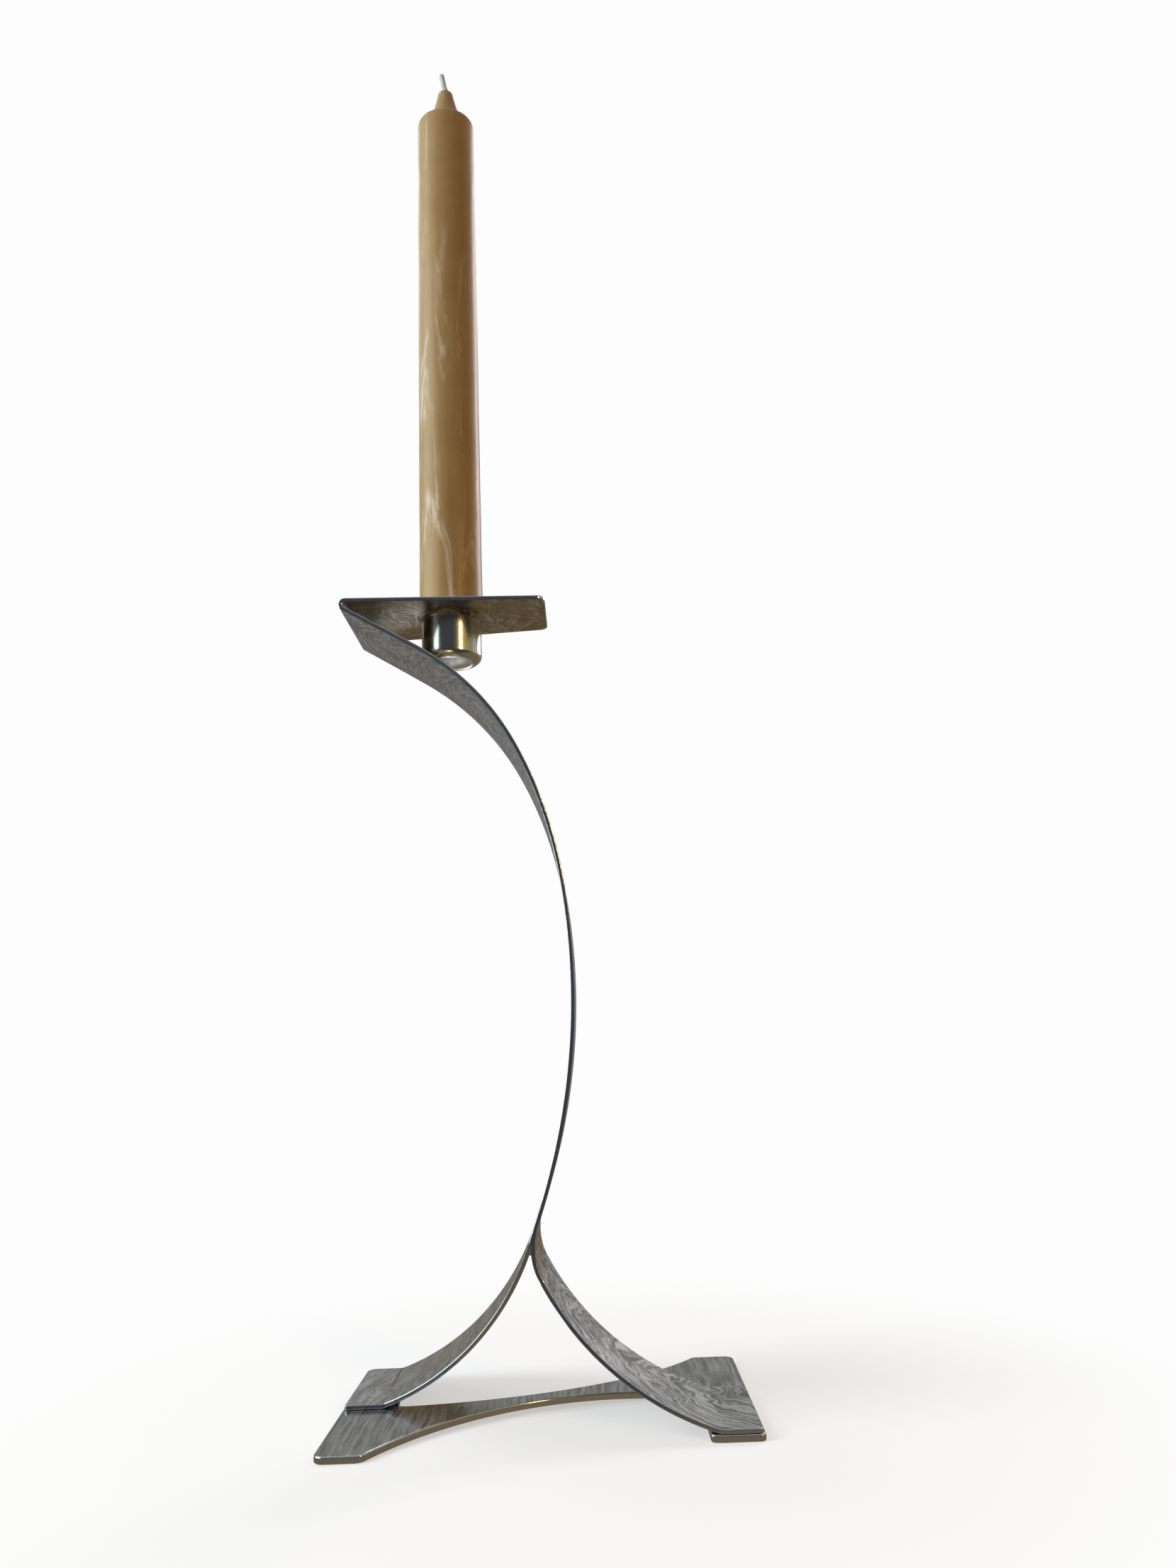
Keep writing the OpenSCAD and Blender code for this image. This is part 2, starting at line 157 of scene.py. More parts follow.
@dataclass
class MiddleLine:
    """The middle line of a strip: a chain of runs from a first pose, sampled into stations.

    Attributes:
        start: the pose at the first station.
        runs: the runs in their order.
    """

    start: Pose
    runs: list[Run]
    at: Array = field(init=False)
    heading: Array = field(init=False)
    length: Array = field(init=False)
    ends: list[float] = field(init=False)
    poses: list[Pose] = field(init=False)

    def __post_init__(self) -> None:
        """Samples each run; a point at length s on an arc is its chord along the mean heading."""
        pose, gone = self.start, 0.0
        at, heading, length = [], [], []
        self.ends, self.poses = [0.0], [pose]
        for run in self.runs:
            count = max(2, math.ceil(run.length / run.step) + 1)
            share = np.linspace(0.0, 1.0, count)[(1 if at else 0) :]
            half = np.radians(run.turn * share / 2)
            chord = run.length * share * np.sinc(half / np.pi)
            way = math.radians(pose.heading) + half
            at.append(np.stack([pose.x + chord * np.cos(way), pose.z + chord * np.sin(way)], 1))
            heading.append(pose.heading + run.turn * share)
            length.append(gone + run.length * share)
            pose, gone = pose.after(run), gone + run.length
            self.ends.append(gone)
            self.poses.append(pose)
        self.at = np.concatenate(at)
        self.heading = np.concatenate(heading)
        self.length = np.concatenate(length)

    def bend(self, flat: Array) -> tuple[Array, Array, Array]:
        """Carries points of the flat blank onto the bent middle surface.

        The first blank coordinate is length along the line and the second is Y. Between two
        stations the point and the heading are interpolated, and past an end the line runs on.

        Args:
            flat: (..., 2) blank coordinates in millimetres.

        Returns:
            The (..., 3) points, unit directions along the line, and unit normals to its left.
        """
        s = flat[..., 0]
        inside = np.clip(s, self.length[0], self.length[-1])
        x = np.interp(inside, self.length, self.at[:, 0])
        z = np.interp(inside, self.length, self.at[:, 1])
        way = np.radians(np.interp(inside, self.length, self.heading))
        x, z = x + (s - inside) * np.cos(way), z + (s - inside) * np.sin(way)
        nought = np.zeros_like(x)
        along = np.stack([np.cos(way), nought, np.sin(way)], -1)
        left = np.stack([-np.sin(way), nought, np.cos(way)], -1)
        return np.stack([x, flat[..., 1], z], -1), along, left


def rounded_corner(before: Array, at: Array, after: Array, radius: float, count: int = 9) -> Array:
    """Points of the arc that rounds a corner of an outline.

    The arc touches both edges; its centre lies on the bisector at radius over the sine of half
    the corner's angle.

    Args:
        before: the outline's point before the corner.
        at: the corner.
        after: the point after it.
        radius: the radius of the arc.
        count: how many points to give.

    Returns:
        A (count, 2) array from the edge before to the edge after.
    """
    u = (before - at) / np.linalg.norm(before - at)
    v = (after - at) / np.linalg.norm(after - at)
    half = math.acos(float(np.clip(u @ v, -1, 1))) / 2
    middle = (u + v) / np.linalg.norm(u + v)
    centre = at + middle * radius / math.sin(half)
    first = at + u * radius / math.tan(half) - centre
    last = at + v * radius / math.tan(half) - centre
    start = math.atan2(first[1], first[0])
    sweep = (math.atan2(last[1], last[0]) - start + math.pi) % (2 * math.pi) - math.pi
    angle = start + sweep * np.linspace(0.0, 1.0, count)
    return centre + radius * np.stack([np.cos(angle), np.sin(angle)], 1)


def evenly(points: Array, count: int) -> Array:
    """Points spaced evenly along a broken line.

    Args:
        points: the (n, 2) line.
        count: how many points to give.

    Returns:
        A (count, 2) array that keeps both ends.
    """
    gone = np.concatenate([[0.0], np.cumsum(np.linalg.norm(np.diff(points, axis=0), axis=1))])
    at = np.linspace(0.0, gone[-1], count)
    return np.stack([np.interp(at, gone, points[:, 0]), np.interp(at, gone, points[:, 1])], 1)


def ripple(at: Array, seed: int, waves: int = 5, lowest: float = 1.0) -> Array:
    """A smooth, irregular ripple between about -1 and 1, as a sum of sines of seeded phases.

    Args:
        at: where to take it, in turns of its period.
        seed: picks the phases.
        waves: how many sines to add.
        lowest: how many waves of the slowest sine fit in one period.

    Returns:
        An array like at.
    """
    chance = np.random.default_rng(seed)
    phase = chance.uniform(0, 2 * np.pi, waves)
    number = lowest * np.arange(1, waves + 1)
    share = 1 / np.sqrt(np.arange(1, waves + 1))
    angle = 2 * np.pi * at[..., None] * number + phase
    return (share * np.sin(angle)).sum(-1) / share.sum() * 1.6


# ---------------------------------------------------------------------------------------------
# Meshes
# ---------------------------------------------------------------------------------------------


@dataclass
class Surface:
    """Arrays of one closed surface, ready to be put into a mesh.

    Attributes:
        name: the piece's name.
        points: (n, 3) points in millimetres.
        normals: (n, 3) unit normals, or None to have them worked out.
        faces: (m, 4) corner numbers; a triangle repeats its last corner.
        blank: (n, 3) coordinates on the flat blank in centimetres, with the side of the sheet.
        edge: (n,) share of cut edge, from 0 on a face to 1 on the edge.
    """

    name: str
    points: Array
    normals: Array | None
    faces: Ints
    blank: Array
    edge: Array

    def piece(self) -> bpy.types.Object:
        """Makes the mesh object at the origin, with its place in its vertices.

        Returns:
            The new object.
        """
        used, number = np.unique(self.faces, return_inverse=True)
        faces = number.reshape(self.faces.shape)
        quads = [tuple(f) if f[2] != f[3] else tuple(f[:3]) for f in faces.tolist()]
        mesh = bpy.data.meshes.new(self.name)
        mesh.from_pydata((self.points[used] * MM).tolist(), [], quads)
        mesh.shade_smooth()
        blank = mesh.attributes.new("blank", "FLOAT_VECTOR", "POINT")
        blank.data.foreach_set("vector", self.blank[used].astype(np.float32).ravel())
        edge = mesh.attributes.new("cut_edge", "FLOAT", "POINT")
        edge.data.foreach_set("value", self.edge[used].astype(np.float32))
        if self.normals is not None:
            mesh.normals_split_custom_set_from_vertices(self.normals[used].tolist())
        mesh.validate()
        piece = bpy.data.objects.new(self.name, mesh)
        bpy.context.scene.collection.objects.link(piece)
        return piece


@dataclass
class Blank:
    """A piece cut from sheet, flat, before it is bent.

    Its front and rear edges are matched point by point, and straight lines between the matched
    points rule its two faces. Both ends are straight.

    Attributes:
        front: (n, 2) front edge in millimetres, in the direction of the blank's length.
        rear: (n, 2) rear edge, matched to the front edge.
        thickness: the sheet's thickness.
        edge_r: radius to which its edges are rubbed down.
        columns: how many points lie across it.
        hole: centre and radius of a hole, if it has one.
    """

    front: Array
    rear: Array
    thickness: float
    edge_r: float = 0.32
    columns: int = 56
    hole: tuple[float, float, float] | None = None

    def outline(self, front: Array, rear: Array) -> Array:
        """The closed line round a blank, against the clock: front edge, end, rear edge, end.

        Args:
            front: (n, 2) front edge.
            rear: (n, 2) rear edge.

        Returns:
            The (2n + 2m - 4, 2) outline.
        """
        share = np.linspace(0.0, 1.0, self.columns)[1:-1, None]
        return np.concatenate(
            [
                front,
                front[-1] + (rear[-1] - front[-1]) * share,
                rear[::-1],
                rear[0] + (front[0] - rear[0]) * share,
            ]
        )

    def surface(self, name: str, bend: Callable[[Array], tuple[Array, Array, Array]]) -> Surface:
        """Works out the bent solid.

        Each face is ruled between the edges moved in by the edge radius r. Round it runs the
        edge's profile: a quarter circle of radius r, the cut wall, and another quarter circle.
        A point of it is the bent blank point plus its height times the sheet's normal.

        Args:
            name: the piece's name.
            bend: carries blank points to points, directions along and normals.

        Returns:
            The closed surface.
        """
        n, m, r, half = len(self.front), self.columns, self.edge_r, self.thickness / 2
        loop = self.outline(self.front, self.rear)
        ahead = np.roll(loop, -1, 0) - np.roll(loop, 1, 0)
        ahead /= np.linalg.norm(ahead, axis=1, keepdims=True)
        out = np.stack([ahead[:, 1], -ahead[:, 0]], 1)
        front = self.front - r * out[:n]
        rear = self.rear - r * out[n + m - 2 : 2 * n + m - 2][::-1]
        inner = self.outline(front, rear)
        out = (loop - inner) / r
        share = np.linspace(0.0, 1.0, m)[None, :, None]
        face = front[:, None] + (rear - front)[:, None] * share
        walls = self._cut_hole(face)

        angle = np.radians(np.array([67.5, 45.0, 22.5, 0.0, 0.0, 0.0, 0.0, -22.5, -45.0, -67.5]))
        straight = np.array([1, 1, 1, 1, 1 / 3, -1 / 3, -1, -1, -1, -1]) * (half - r)
        height = straight + r * np.sin(angle)
        rows = inner[None] + out[None] * (r * np.cos(angle))[:, None, None]

        at, along, up = bend(face)
        top, low = at + half * up, at - half * up
        row_at, row_along, row_up = bend(rows)
        side = row_along * out[None, :, :1] + np.array([0.0, 1.0, 0.0]) * out[None, :, 1:]
        tilt = angle[:, None, None]
        rim = row_at + row_up * height[:, None, None]
        rim_normal = side * np.cos(tilt) + row_up * np.sin(tilt)

        points = np.concatenate([top.reshape(-1, 3), low.reshape(-1, 3), rim.reshape(-1, 3)])
        normals = np.concatenate([up.reshape(-1, 3), -up.reshape(-1, 3), rim_normal.reshape(-1, 3)])
        sides = np.concatenate([np.ones(n * m), -np.ones(n * m), np.repeat(height / half, len(loop))])
        flat = np.concatenate([face.reshape(-1, 2)] * 2 + [rows.reshape(-1, 2)])
        edge = np.concatenate([np.zeros(2 * n * m), np.repeat(np.cos(angle) ** 0.7, len(loop))])
        blank = np.concatenate([flat / 10, sides[:, None]], 1)
        return Surface(name, points, normals, self._faces(n, len(angle), walls), blank, edge)

    def _cut_hole(self, face: Array) -> Ints:
        """Fits the grid of a face to the hole.

        Cells whose middle lies in the circle go, and the points between gone and kept cells
        move along their radius onto the circle.

        Args:
            face: (n, m, 2) grid, changed in place.

        Returns:
            (n - 1, m - 1) flags, 1 where the cell is kept.
        """
        kept = np.ones((face.shape[0] - 1, face.shape[1] - 1), dtype=np.int64)
        if self.hole is None:
            return kept
        centre, radius = np.array(self.hole[:2]), self.hole[2]
        middle = (face[:-1, :-1] + face[1:, :-1] + face[:-1, 1:] + face[1:, 1:]) / 4
        kept = (np.linalg.norm(middle - centre, axis=2) > radius).astype(np.int64)
        around = np.pad(kept, 1, mode="edge")
        total = around[:-1, :-1] + around[1:, :-1] + around[:-1, 1:] + around[1:, 1:]
        border = (total > 0) & (total < 4)
        away = face - centre
        ring = centre + away / np.linalg.norm(away, axis=2, keepdims=True) * radius
        face[border] = ring[border]
        return kept

    def _faces(self, n: int, rows: int, kept: Ints) -> Ints:
        """Numbers the corners of every face: both sheets, the rim and the wall of the hole.

        Args:
            n: points along each edge.
            rows: rows of points in the rim.
            kept: flags of the cells that stay.

        Returns:
            (k, 4) corner numbers, against the clock from outside.
        """
        m = self.columns
        number = np.arange(n * m).reshape(n, m)
        low = number + n * m
        a, b, c, d = number[:-1, :-1], number[1:, :-1], number[1:, 1:], number[:-1, 1:]
        stay = kept.astype(bool)
        top_faces = np.stack([a, b, c, d], -1)[stay]
        low_faces = np.stack([a, d, c, b], -1)[stay] + n * m

        def border(grid: Ints) -> Ints:
            """The numbers of a grid's points in the order of the outline.

            Args:
                grid: (n, m) point numbers.

            Returns:
                The numbers round its border, each once.
            """
            return np.concatenate([grid[:, 0], grid[-1, 1:-1], grid[::-1, -1], grid[0, -2:0:-1]])

        count = 2 * n + 2 * m - 4
        rim = 2 * n * m + np.arange(rows * count).reshape(rows, count)
        rings = np.concatenate([border(number)[None], rim, border(low)[None]])
        after = np.roll(rings, -1, 1)
        rim_faces = np.stack([rings[:-1], rings[1:], after[1:], after[:-1]], -1).reshape(-1, 4)

        across = np.argwhere(kept[:, 1:] != kept[:, :-1])
        i, j = across[:, 0], across[:, 1] + 1
        first, last = number[i, j], number[i + 1, j]
        flip = kept[i, j - 1] == 1
        first, last = np.where(flip, last, first), np.where(flip, first, last)
        wall_a = np.stack([first, first + n * m, last + n * m, last], -1)[:, ::-1]
        down = np.argwhere(kept[1:] != kept[:-1])
        i, j = down[:, 0] + 1, down[:, 1]
        first, last = number[i, j], number[i, j + 1]
        flip = kept[i, j] == 1
        first, last = np.where(flip, last, first), np.where(flip, first, last)
        wall_b = np.stack([first, first + n * m, last + n * m, last], -1)[:, ::-1]
        return np.concatenate([top_faces, low_faces, rim_faces, wall_a, wall_b])


def turned(
    name: str,
    profile: Array,
    centre: tuple[float, float],
    segments: int = 128,
    relief: Callable[[Array, Array], Array] | None = None,
    closed: bool = False,
) -> Surface:
    """A turned solid: a profile carried round a vertical axis.

    The point at angle t and profile place k is the centre plus the profile's radius along
    (cos t, sin t), at the profile's height. A relief moves it along the radius.

    Args:
        name: the piece's name.
        profile: (k, 2) radii and heights in millimetres, with the solid on its left.
        centre: X and Y of the axis.
        segments: how many steps there are round it.
        relief: gives the radial move from the angle and the profile point.
        closed: whether the profile's last point joins its first, as on a ring.

    Returns:
        The closed surface. Where the profile meets the axis, its point is a single pole.
    """
    turn = np.linspace(0.0, 2 * np.pi, segments, endpoint=False)
    count = len(profile)
    t = np.broadcast_to(turn[:, None], (segments, count))
    place = np.broadcast_to(profile[None], (segments, count, 2))
    radius = place[..., 0] + (relief(t, place) * (place[..., 0] > 0) if relief else 0.0)
    points = np.stack(
        [centre[0] + radius * np.cos(t), centre[1] + radius * np.sin(t), place[..., 1]], -1
    ).reshape(-1, 3)
    number = np.arange(segments * count).reshape(segments, count)
    number[:, profile[:, 0] <= 0] = number[:1, profile[:, 0] <= 0]
    here, after = number, np.roll(number, -1, 0)
    if closed:
        here, after = np.c_[here, here[:, :1]], np.c_[after, after[:, :1]]
    quads = np.stack([here[:, :-1], after[:, :-1], after[:, 1:], here[:, 1:]], -1).reshape(-1, 4)
    pole_low, pole_high = quads[:, 0] == quads[:, 1], quads[:, 2] == quads[:, 3]
    quads[pole_low] = quads[pole_low][:, [0, 2, 3, 3]]
    faces = quads[~(pole_low & pole_high)]
    blank = np.stack([t, place[..., 1] / 10, place[..., 0] / 10], -1).reshape(-1, 3)
    return Surface(name, points, None, faces, blank, np.zeros(len(points)))


# ---------------------------------------------------------------------------------------------
# Shader building
# ---------------------------------------------------------------------------------------------


class Number:
    """A number that flows through a node tree; an expression on it adds Math nodes."""

    def __init__(self, tree: "Tree", socket: bpy.types.NodeSocket) -> None:
        """Wraps an output socket of a tree.

        Args:
            tree: the tree that holds the socket.
            socket: the output socket.
        """
        self.tree = tree
        self.socket = socket

    def _with(self, operation: str, other: "Number | float", swap: bool = False) -> "Number":
        """Returns the outcome of a Math node on this number and another.

        Args:
            operation: the Math node's operation.
            other: the other number.
            swap: whether the other number comes first.

        Returns:
            The outcome.
        """
        pair = (other, self) if swap else (self, other)
        return self.tree.number("ShaderNodeMath", {"operation": operation}, {0: pair[0], 1: pair[1]})

    def __add__(self, other: "Number | float") -> "Number":
        """Adds.

        Args:
            other: what to add.

        Returns:
            The sum.
        """
        return self._with("ADD", other)

    __radd__ = __add__

    def __sub__(self, other: "Number | float") -> "Number":
        """Takes away.

        Args:
            other: what to take away.

        Returns:
            The difference.
        """
        return self._with("SUBTRACT", other)

    def __rsub__(self, other: "Number | float") -> "Number":
        """Is taken away from a number.

        Args:
            other: the number.

        Returns:
            The difference.
        """
        return self._with("SUBTRACT", other, swap=True)

    def __mul__(self, other: "Number | float") -> "Number":
        """Multiplies.

        Args:
            other: the factor.

        Returns:
            The product.
        """
        return self._with("MULTIPLY", other)

    __rmul__ = __mul__

    def __truediv__(self, other: "Number | float") -> "Number":
        """Divides.

        Args:
            other: the divisor.

        Returns:
            The quotient.
        """
        return self._with("DIVIDE", other)

    def __rtruediv__(self, other: "Number | float") -> "Number":
        """Divides a number.

        Args:
            other: the number.

        Returns:
            The quotient.
        """
        return self._with("DIVIDE", other, swap=True)

    def __pow__(self, other: "Number | float") -> "Number":
        """Raises to a power.

        Args:
            other: the exponent.

        Returns:
            The power.
        """
        return self._with("POWER", other)

    def __rpow__(self, other: "Number | float") -> "Number":
        """Is the power of a number.

        Args:
            other: the base.

        Returns:
            The power.
        """
        return self._with("POWER", other, swap=True)

    def __neg__(self) -> "Number":
        """Turns the sign.

        Returns:
            The negative.
        """
        return self * -1.0

    def sine(self) -> "Number":
        """Returns the sine of this number of turns.

        Returns:
            The sine, from -1 to 1.
        """
        return self.tree.number("ShaderNodeMath", {"operation": "SINE"}, {0: self * (2 * math.pi)})

    def rise(self, low: float, high: float) -> "Number":
        """Returns 0 below low and 1 above high, with a smooth rise between them.

        Args:
            low: where the rise starts.
            high: where it ends.

        Returns:
            The share risen.
        """
        return self.tree.number(
            "ShaderNodeMapRange",
            {"interpolation_type": "SMOOTHSTEP", "clamp": True},
            {0: self, 1: low, 2: high, 3: 0.0, 4: 1.0},
        )

    def fall(self, low: float, high: float) -> "Number":
        """Returns 1 below low and 0 above high, with a smooth fall between them.

        Args:
            low: where the fall starts.
            high: where it ends.

        Returns:
            The share left.
        """
        return 1.0 - self.rise(low, high)


class Tree:
    """A node tree and the few ways in which this object's finishes build it."""

    def __init__(self, tree: bpy.types.NodeTree) -> None:
        """Takes a tree and empties it.

        Args:
            tree: the tree.
        """
        self.tree = tree
        tree.nodes.clear()

    def node(self, kind: str, settings: dict[str, Any], inputs: dict[int | str, Any]) -> bpy.types.Node:
        """Adds a node.

        Args:
            kind: the node's type.
            settings: its own settings, set before its sockets; "stops" gives a ramp's stops.
            inputs: values, numbers or output sockets for its sockets, by name or place.

        Returns:
            The node.
        """
        made = self.tree.nodes.new(kind)
        for key, value in settings.items():
            if key == "stops":
                ramp = made.color_ramp.elements
                while len(ramp) < len(value):
                    ramp.new(0.5)
                for stop, (place, colour) in zip(ramp, value, strict=True):
                    stop.position, stop.color = place, (*colour, 1.0)
            else:
                setattr(made, key, value)
        for key, value in inputs.items():
            socket = made.inputs[key]
            if isinstance(value, Number):
                self.tree.links.new(value.socket, socket)
            elif isinstance(value, bpy.types.NodeSocket):
                self.tree.links.new(value, socket)
            else:
                socket.default_value = value
        return made

    def number(
        self, kind: str, settings: dict[str, Any], inputs: dict[int | str, Any], output: int | str = 0
    ) -> Number:
        """Adds a node and returns one of its outputs as a number.

        Args:
            kind: the node's type.
            settings: its own settings.
            inputs: values for its sockets.
            output: name or place of the output.

        Returns:
            The output as a number.
        """
        return Number(self, self.node(kind, settings, inputs).outputs[output])

    def attribute(self, name: str, output: str) -> bpy.types.NodeSocket:
        """Returns an output of a mesh attribute.

        Args:
            name: the attribute's name.
            output: the output's name.

        Returns:
            The output socket.
        """
        return self.node("ShaderNodeAttribute", {"attribute_name": name}, {}).outputs[output]

    def vector(self, x: Number | float, y: Number | float, z: Number | float = 0.0) -> Any:
        """Returns a vector put together from three numbers.

        Args:
            x: first number.
            y: second number.
            z: third number.

        Returns:
            The vector's socket.
        """
        return self.node("ShaderNodeCombineXYZ", {}, {0: x, 1: y, 2: z}).outputs[0]

    def parts(self, vector: bpy.types.NodeSocket) -> list[Number]:
        """Returns the three numbers of a vector.

        Args:
            vector: the vector's socket.

        Returns:
            Its three numbers.
        """
        made = self.node("ShaderNodeSeparateXYZ", {}, {0: vector})
        return [Number(self, made.outputs[k]) for k in range(3)]

    def noise(
        self, vector: Any, scale: float, detail: float = 3.0, rough: float = 0.55, warp: float = 0.0
    ) -> Number:
        """Returns a noise of this scale, from 0 to 1 about 0.5.

        Args:
            vector: where to take it.
            scale: how fine it is.
            detail: how many finer layers it has.
            rough: how strong those are.
            warp: how far it is distorted.

        Returns:
            The noise.
        """
        sockets = {"Vector": vector, "Scale": scale, "Detail": detail}
        sockets |= {"Roughness": rough, "Distortion": warp}
        return self.number("ShaderNodeTexNoise", {"noise_dimensions": "3D"}, sockets)

    def blend(self, share: Number, low: Any, high: Any, way: str = "MIX") -> bpy.types.NodeSocket:
        """Returns two colours mixed by a share; a colour is a triple or a socket.

        Args:
            share: share of the second colour.
            low: the first colour.
            high: the second colour.
            way: how they are mixed.

        Returns:
            The colour's socket.
        """
        low, high = [(*c, 1.0) if isinstance(c, tuple) and len(c) == 3 else c for c in (low, high)]
        settings = {"data_type": "RGBA", "blend_type": way, "clamp_factor": True}
        return self.node("ShaderNodeMix", settings, {0: share, 6: low, 7: high}).outputs[2]

    def skin(self, height: Number, sockets: dict[str, Any]) -> bpy.types.Node:
        """Adds the surface shader that every finish ends in, with its bump.

        Args:
            height: height of the surface in millimetres.
            sockets: values for the shader's other sockets, by name.

        Returns:
            The shader node.
        """
        drop = {"Strength": 1.0, "Distance": MM, "Height": height}
        bump = self.node("ShaderNodeBump", {}, drop)
        return self.node("ShaderNodeBsdfPrincipled", {}, sockets | {"Normal": bump.outputs[0]})


class Finish:
    """What every finish shares: a material whose nodes are built once."""

    name: str = "finish"

    def material(self) -> bpy.types.Material:
        """Makes the material.

        Returns:
            A new material with the finish's node tree.
        """
        made = bpy.data.materials.new(self.name)
        made.use_nodes = True
        tree = Tree(made.node_tree)
        shader = self.shade(tree)
        tree.node("ShaderNodeOutputMaterial", {}, {"Surface": shader.outputs[0]})
        return made

    def shade(self, tree: Tree) -> bpy.types.Node:
        """Builds the surface shader in a tree and returns it.

        Args:
            tree: the tree.

        Returns:
            The shader node.
        """
        raise NotImplementedError

    def dress(self, piece: bpy.types.Object, body: str, slot: str, *nodes: str) -> bpy.types.Object:
        """Gives a piece this finish, its body and the frame nodes that it stands for.

        Args:
            piece: the piece.
            body: the body that it rides on.
            slot: its material slot in the record; not used.
            *nodes: the frame's nodes that it replaces.

        Returns:
            The piece.
        """
        piece.data.materials.clear()
        piece.data.materials.append(self.material())
        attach(piece, body)
        if nodes:
            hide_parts(*nodes)
        log.info("%s: %d faces, on %s", piece.name, len(piece.data.polygons), body)
        return piece


class Grain(Enum):
    """Which way the brush went over the sheet, as (share of length, share of width)."""

    ACROSS = (1.0, 0.10)
    ALONG = (0.10, 1.0)


@dataclass(frozen=True)
class BrushedSilver(Finish):
    """Sheet silver rubbed down by hand, with polished cut edges.

    Attributes:
        name: the material's name.
        grain: the way of the brush.
        tone: colour of the clean metal.
        shade_tone: colour in the brush marks.
        rough: roughness of the clean metal.
        streak: number of brush marks in a centimetre.
        cross: how many marks follow one another in a centimetre across the brush's way.
        scale: share of crescent strokes, one after another like fish scales.
        bow: how far the marks curve back at the sheet's edges, in centimetres.
        sway: how far they wander, in centimetres.
        relief: depth of the marks, in millimetres.
        dent: depth of the hammered unevenness, in millimetres.
        painted_reflection_from: length along the blank from which the underside is painted with a brown
            reflection, or None.
        painted_reflection_tone: colour of that painted brown reflection.
        crease: length along the blank of a dark line of painted shade along the bend, or None.
    """

    name: str = "brushed_silver"
    grain: Grain = Grain.ACROSS
    tone: Colour = (0.74, 0.735, 0.72)
    shade_tone: Colour = (0.36, 0.355, 0.34)
    rough: float = 0.30
    streak: float = 7.0
    cross: float = 1.6
    scale: float = 0.0
    bow: float = 0.10
    sway: float = 0.5
    relief: float = 0.05
    dent: float = 0.12
    painted_reflection_from: float | None = None
    painted_reflection_tone: Colour = (0.34, 0.29, 0.19)
    crease: float | None = None

    def shade(self, tree: Tree) -> bpy.types.Node:
        """Builds the shader: brush marks are noise drawn out along the brush's way.

        The blank's coordinates are first bowed by the square of the width and swayed by a slow
        noise, so that the marks curve and wander over the sheet.

        Args:
            tree: the material's tree.

        Returns:
            The shader node.
        """
        flat = tree.attribute("blank", "Vector")
        edge = Number(tree, tree.attribute("cut_edge", "Fac"))
        along, across, side = tree.parts(flat)
        sway = tree.noise(flat, 0.9, 2.0) - 0.5
        drift = tree.noise(flat, 3.1, 2.0) - 0.5
        u = along + across * across * self.bow + sway * (2 * self.sway) + drift * (0.6 * self.sway)
        v = across + drift * 0.4
        if self.grain is Grain.ALONG:
            u, v = across + sway * 0.12 + drift * 0.04, along
        strokes = tree.noise(tree.vector(u * self.streak, v * self.cross, side), 1.0, 2.0, 0.5)
        finer = tree.vector(u * self.streak * 1.9, v * self.cross * 0.9, side)
        marks = tree.noise(finer, 1.0, 4.0, 0.62)
        cloud = tree.noise(flat, 1.3, 4.0, 0.6, 0.4)
        patch = tree.noise(tree.vector(along, across, side * 7.0), 0.5, 2.0)

        rows = (u * (self.streak * 0.9) + (tree.noise(flat, 0.8, 2.0) - 0.5) * 2.2).sine()
        worn = (strokes - 0.5) * 2.0 + (marks - 0.5) * 1.5 + (cloud - 0.5) * 0.9 + 0.5
        worn = worn + rows * self.scale
        colour = tree.blend(worn.rise(0.0, 1.0), self.shade_tone, self.tone)
        # Painted reflection: from the drip plate on, the downward face is tinted brown in patches, as if it
        # mirrored a brown table below.
        if self.painted_reflection_from is not None:
            painted_reflection_mask = along.rise(self.painted_reflection_from, self.painted_reflection_from + 0.6) * side.fall(-0.9, 0.2)
            painted_reflection_patches = tree.noise(flat, 1.6, 6.0, 0.65, 0.8)
            colour = tree.blend(painted_reflection_mask * painted_reflection_patches.rise(0.25, 0.7), colour, self.painted_reflection_tone)
        # Painted shade: a dark line along the crease of the bend, broken up by the cloud noise.
        if self.crease is not None:
            line = ((along - self.crease) * (along - self.crease)).fall(0.0004, 0.006)
            colour = tree.blend(line * cloud.rise(0.3, 0.6) * 0.75, colour, (0.10, 0.09, 0.08))
        # Cut edges take the clean metal's colour without brush marks, tinted blue: a painted reflection of
        # the window light.
        edge_tone_painted_blue = tuple(c * k for c, k in zip(self.tone, (0.93, 0.97, 1.0), strict=True))
        colour = tree.blend(edge.rise(0.25, 0.9), colour, edge_tone_painted_blue)
        rough = self.rough + (strokes - 0.5) * 0.20 + (patch - 0.5) * 0.16 + (marks - 0.5) * 0.16
        rough = rough * edge.fall(0.15, 0.8) + edge.rise(0.15, 0.8) * (0.10 + cloud * 0.08)
        height = (strokes * 0.8 + marks * 0.45) * self.relief + cloud * self.dent + patch * 0.3 * self.dent
        height = height + rows * (self.scale * 0.06)
        height = height * (edge.fall(0.1, 0.9) * 0.85 + 0.15)
        return tree.skin(height, {"Base Color": colour, "Metallic": 1.0, "Roughness": rough})


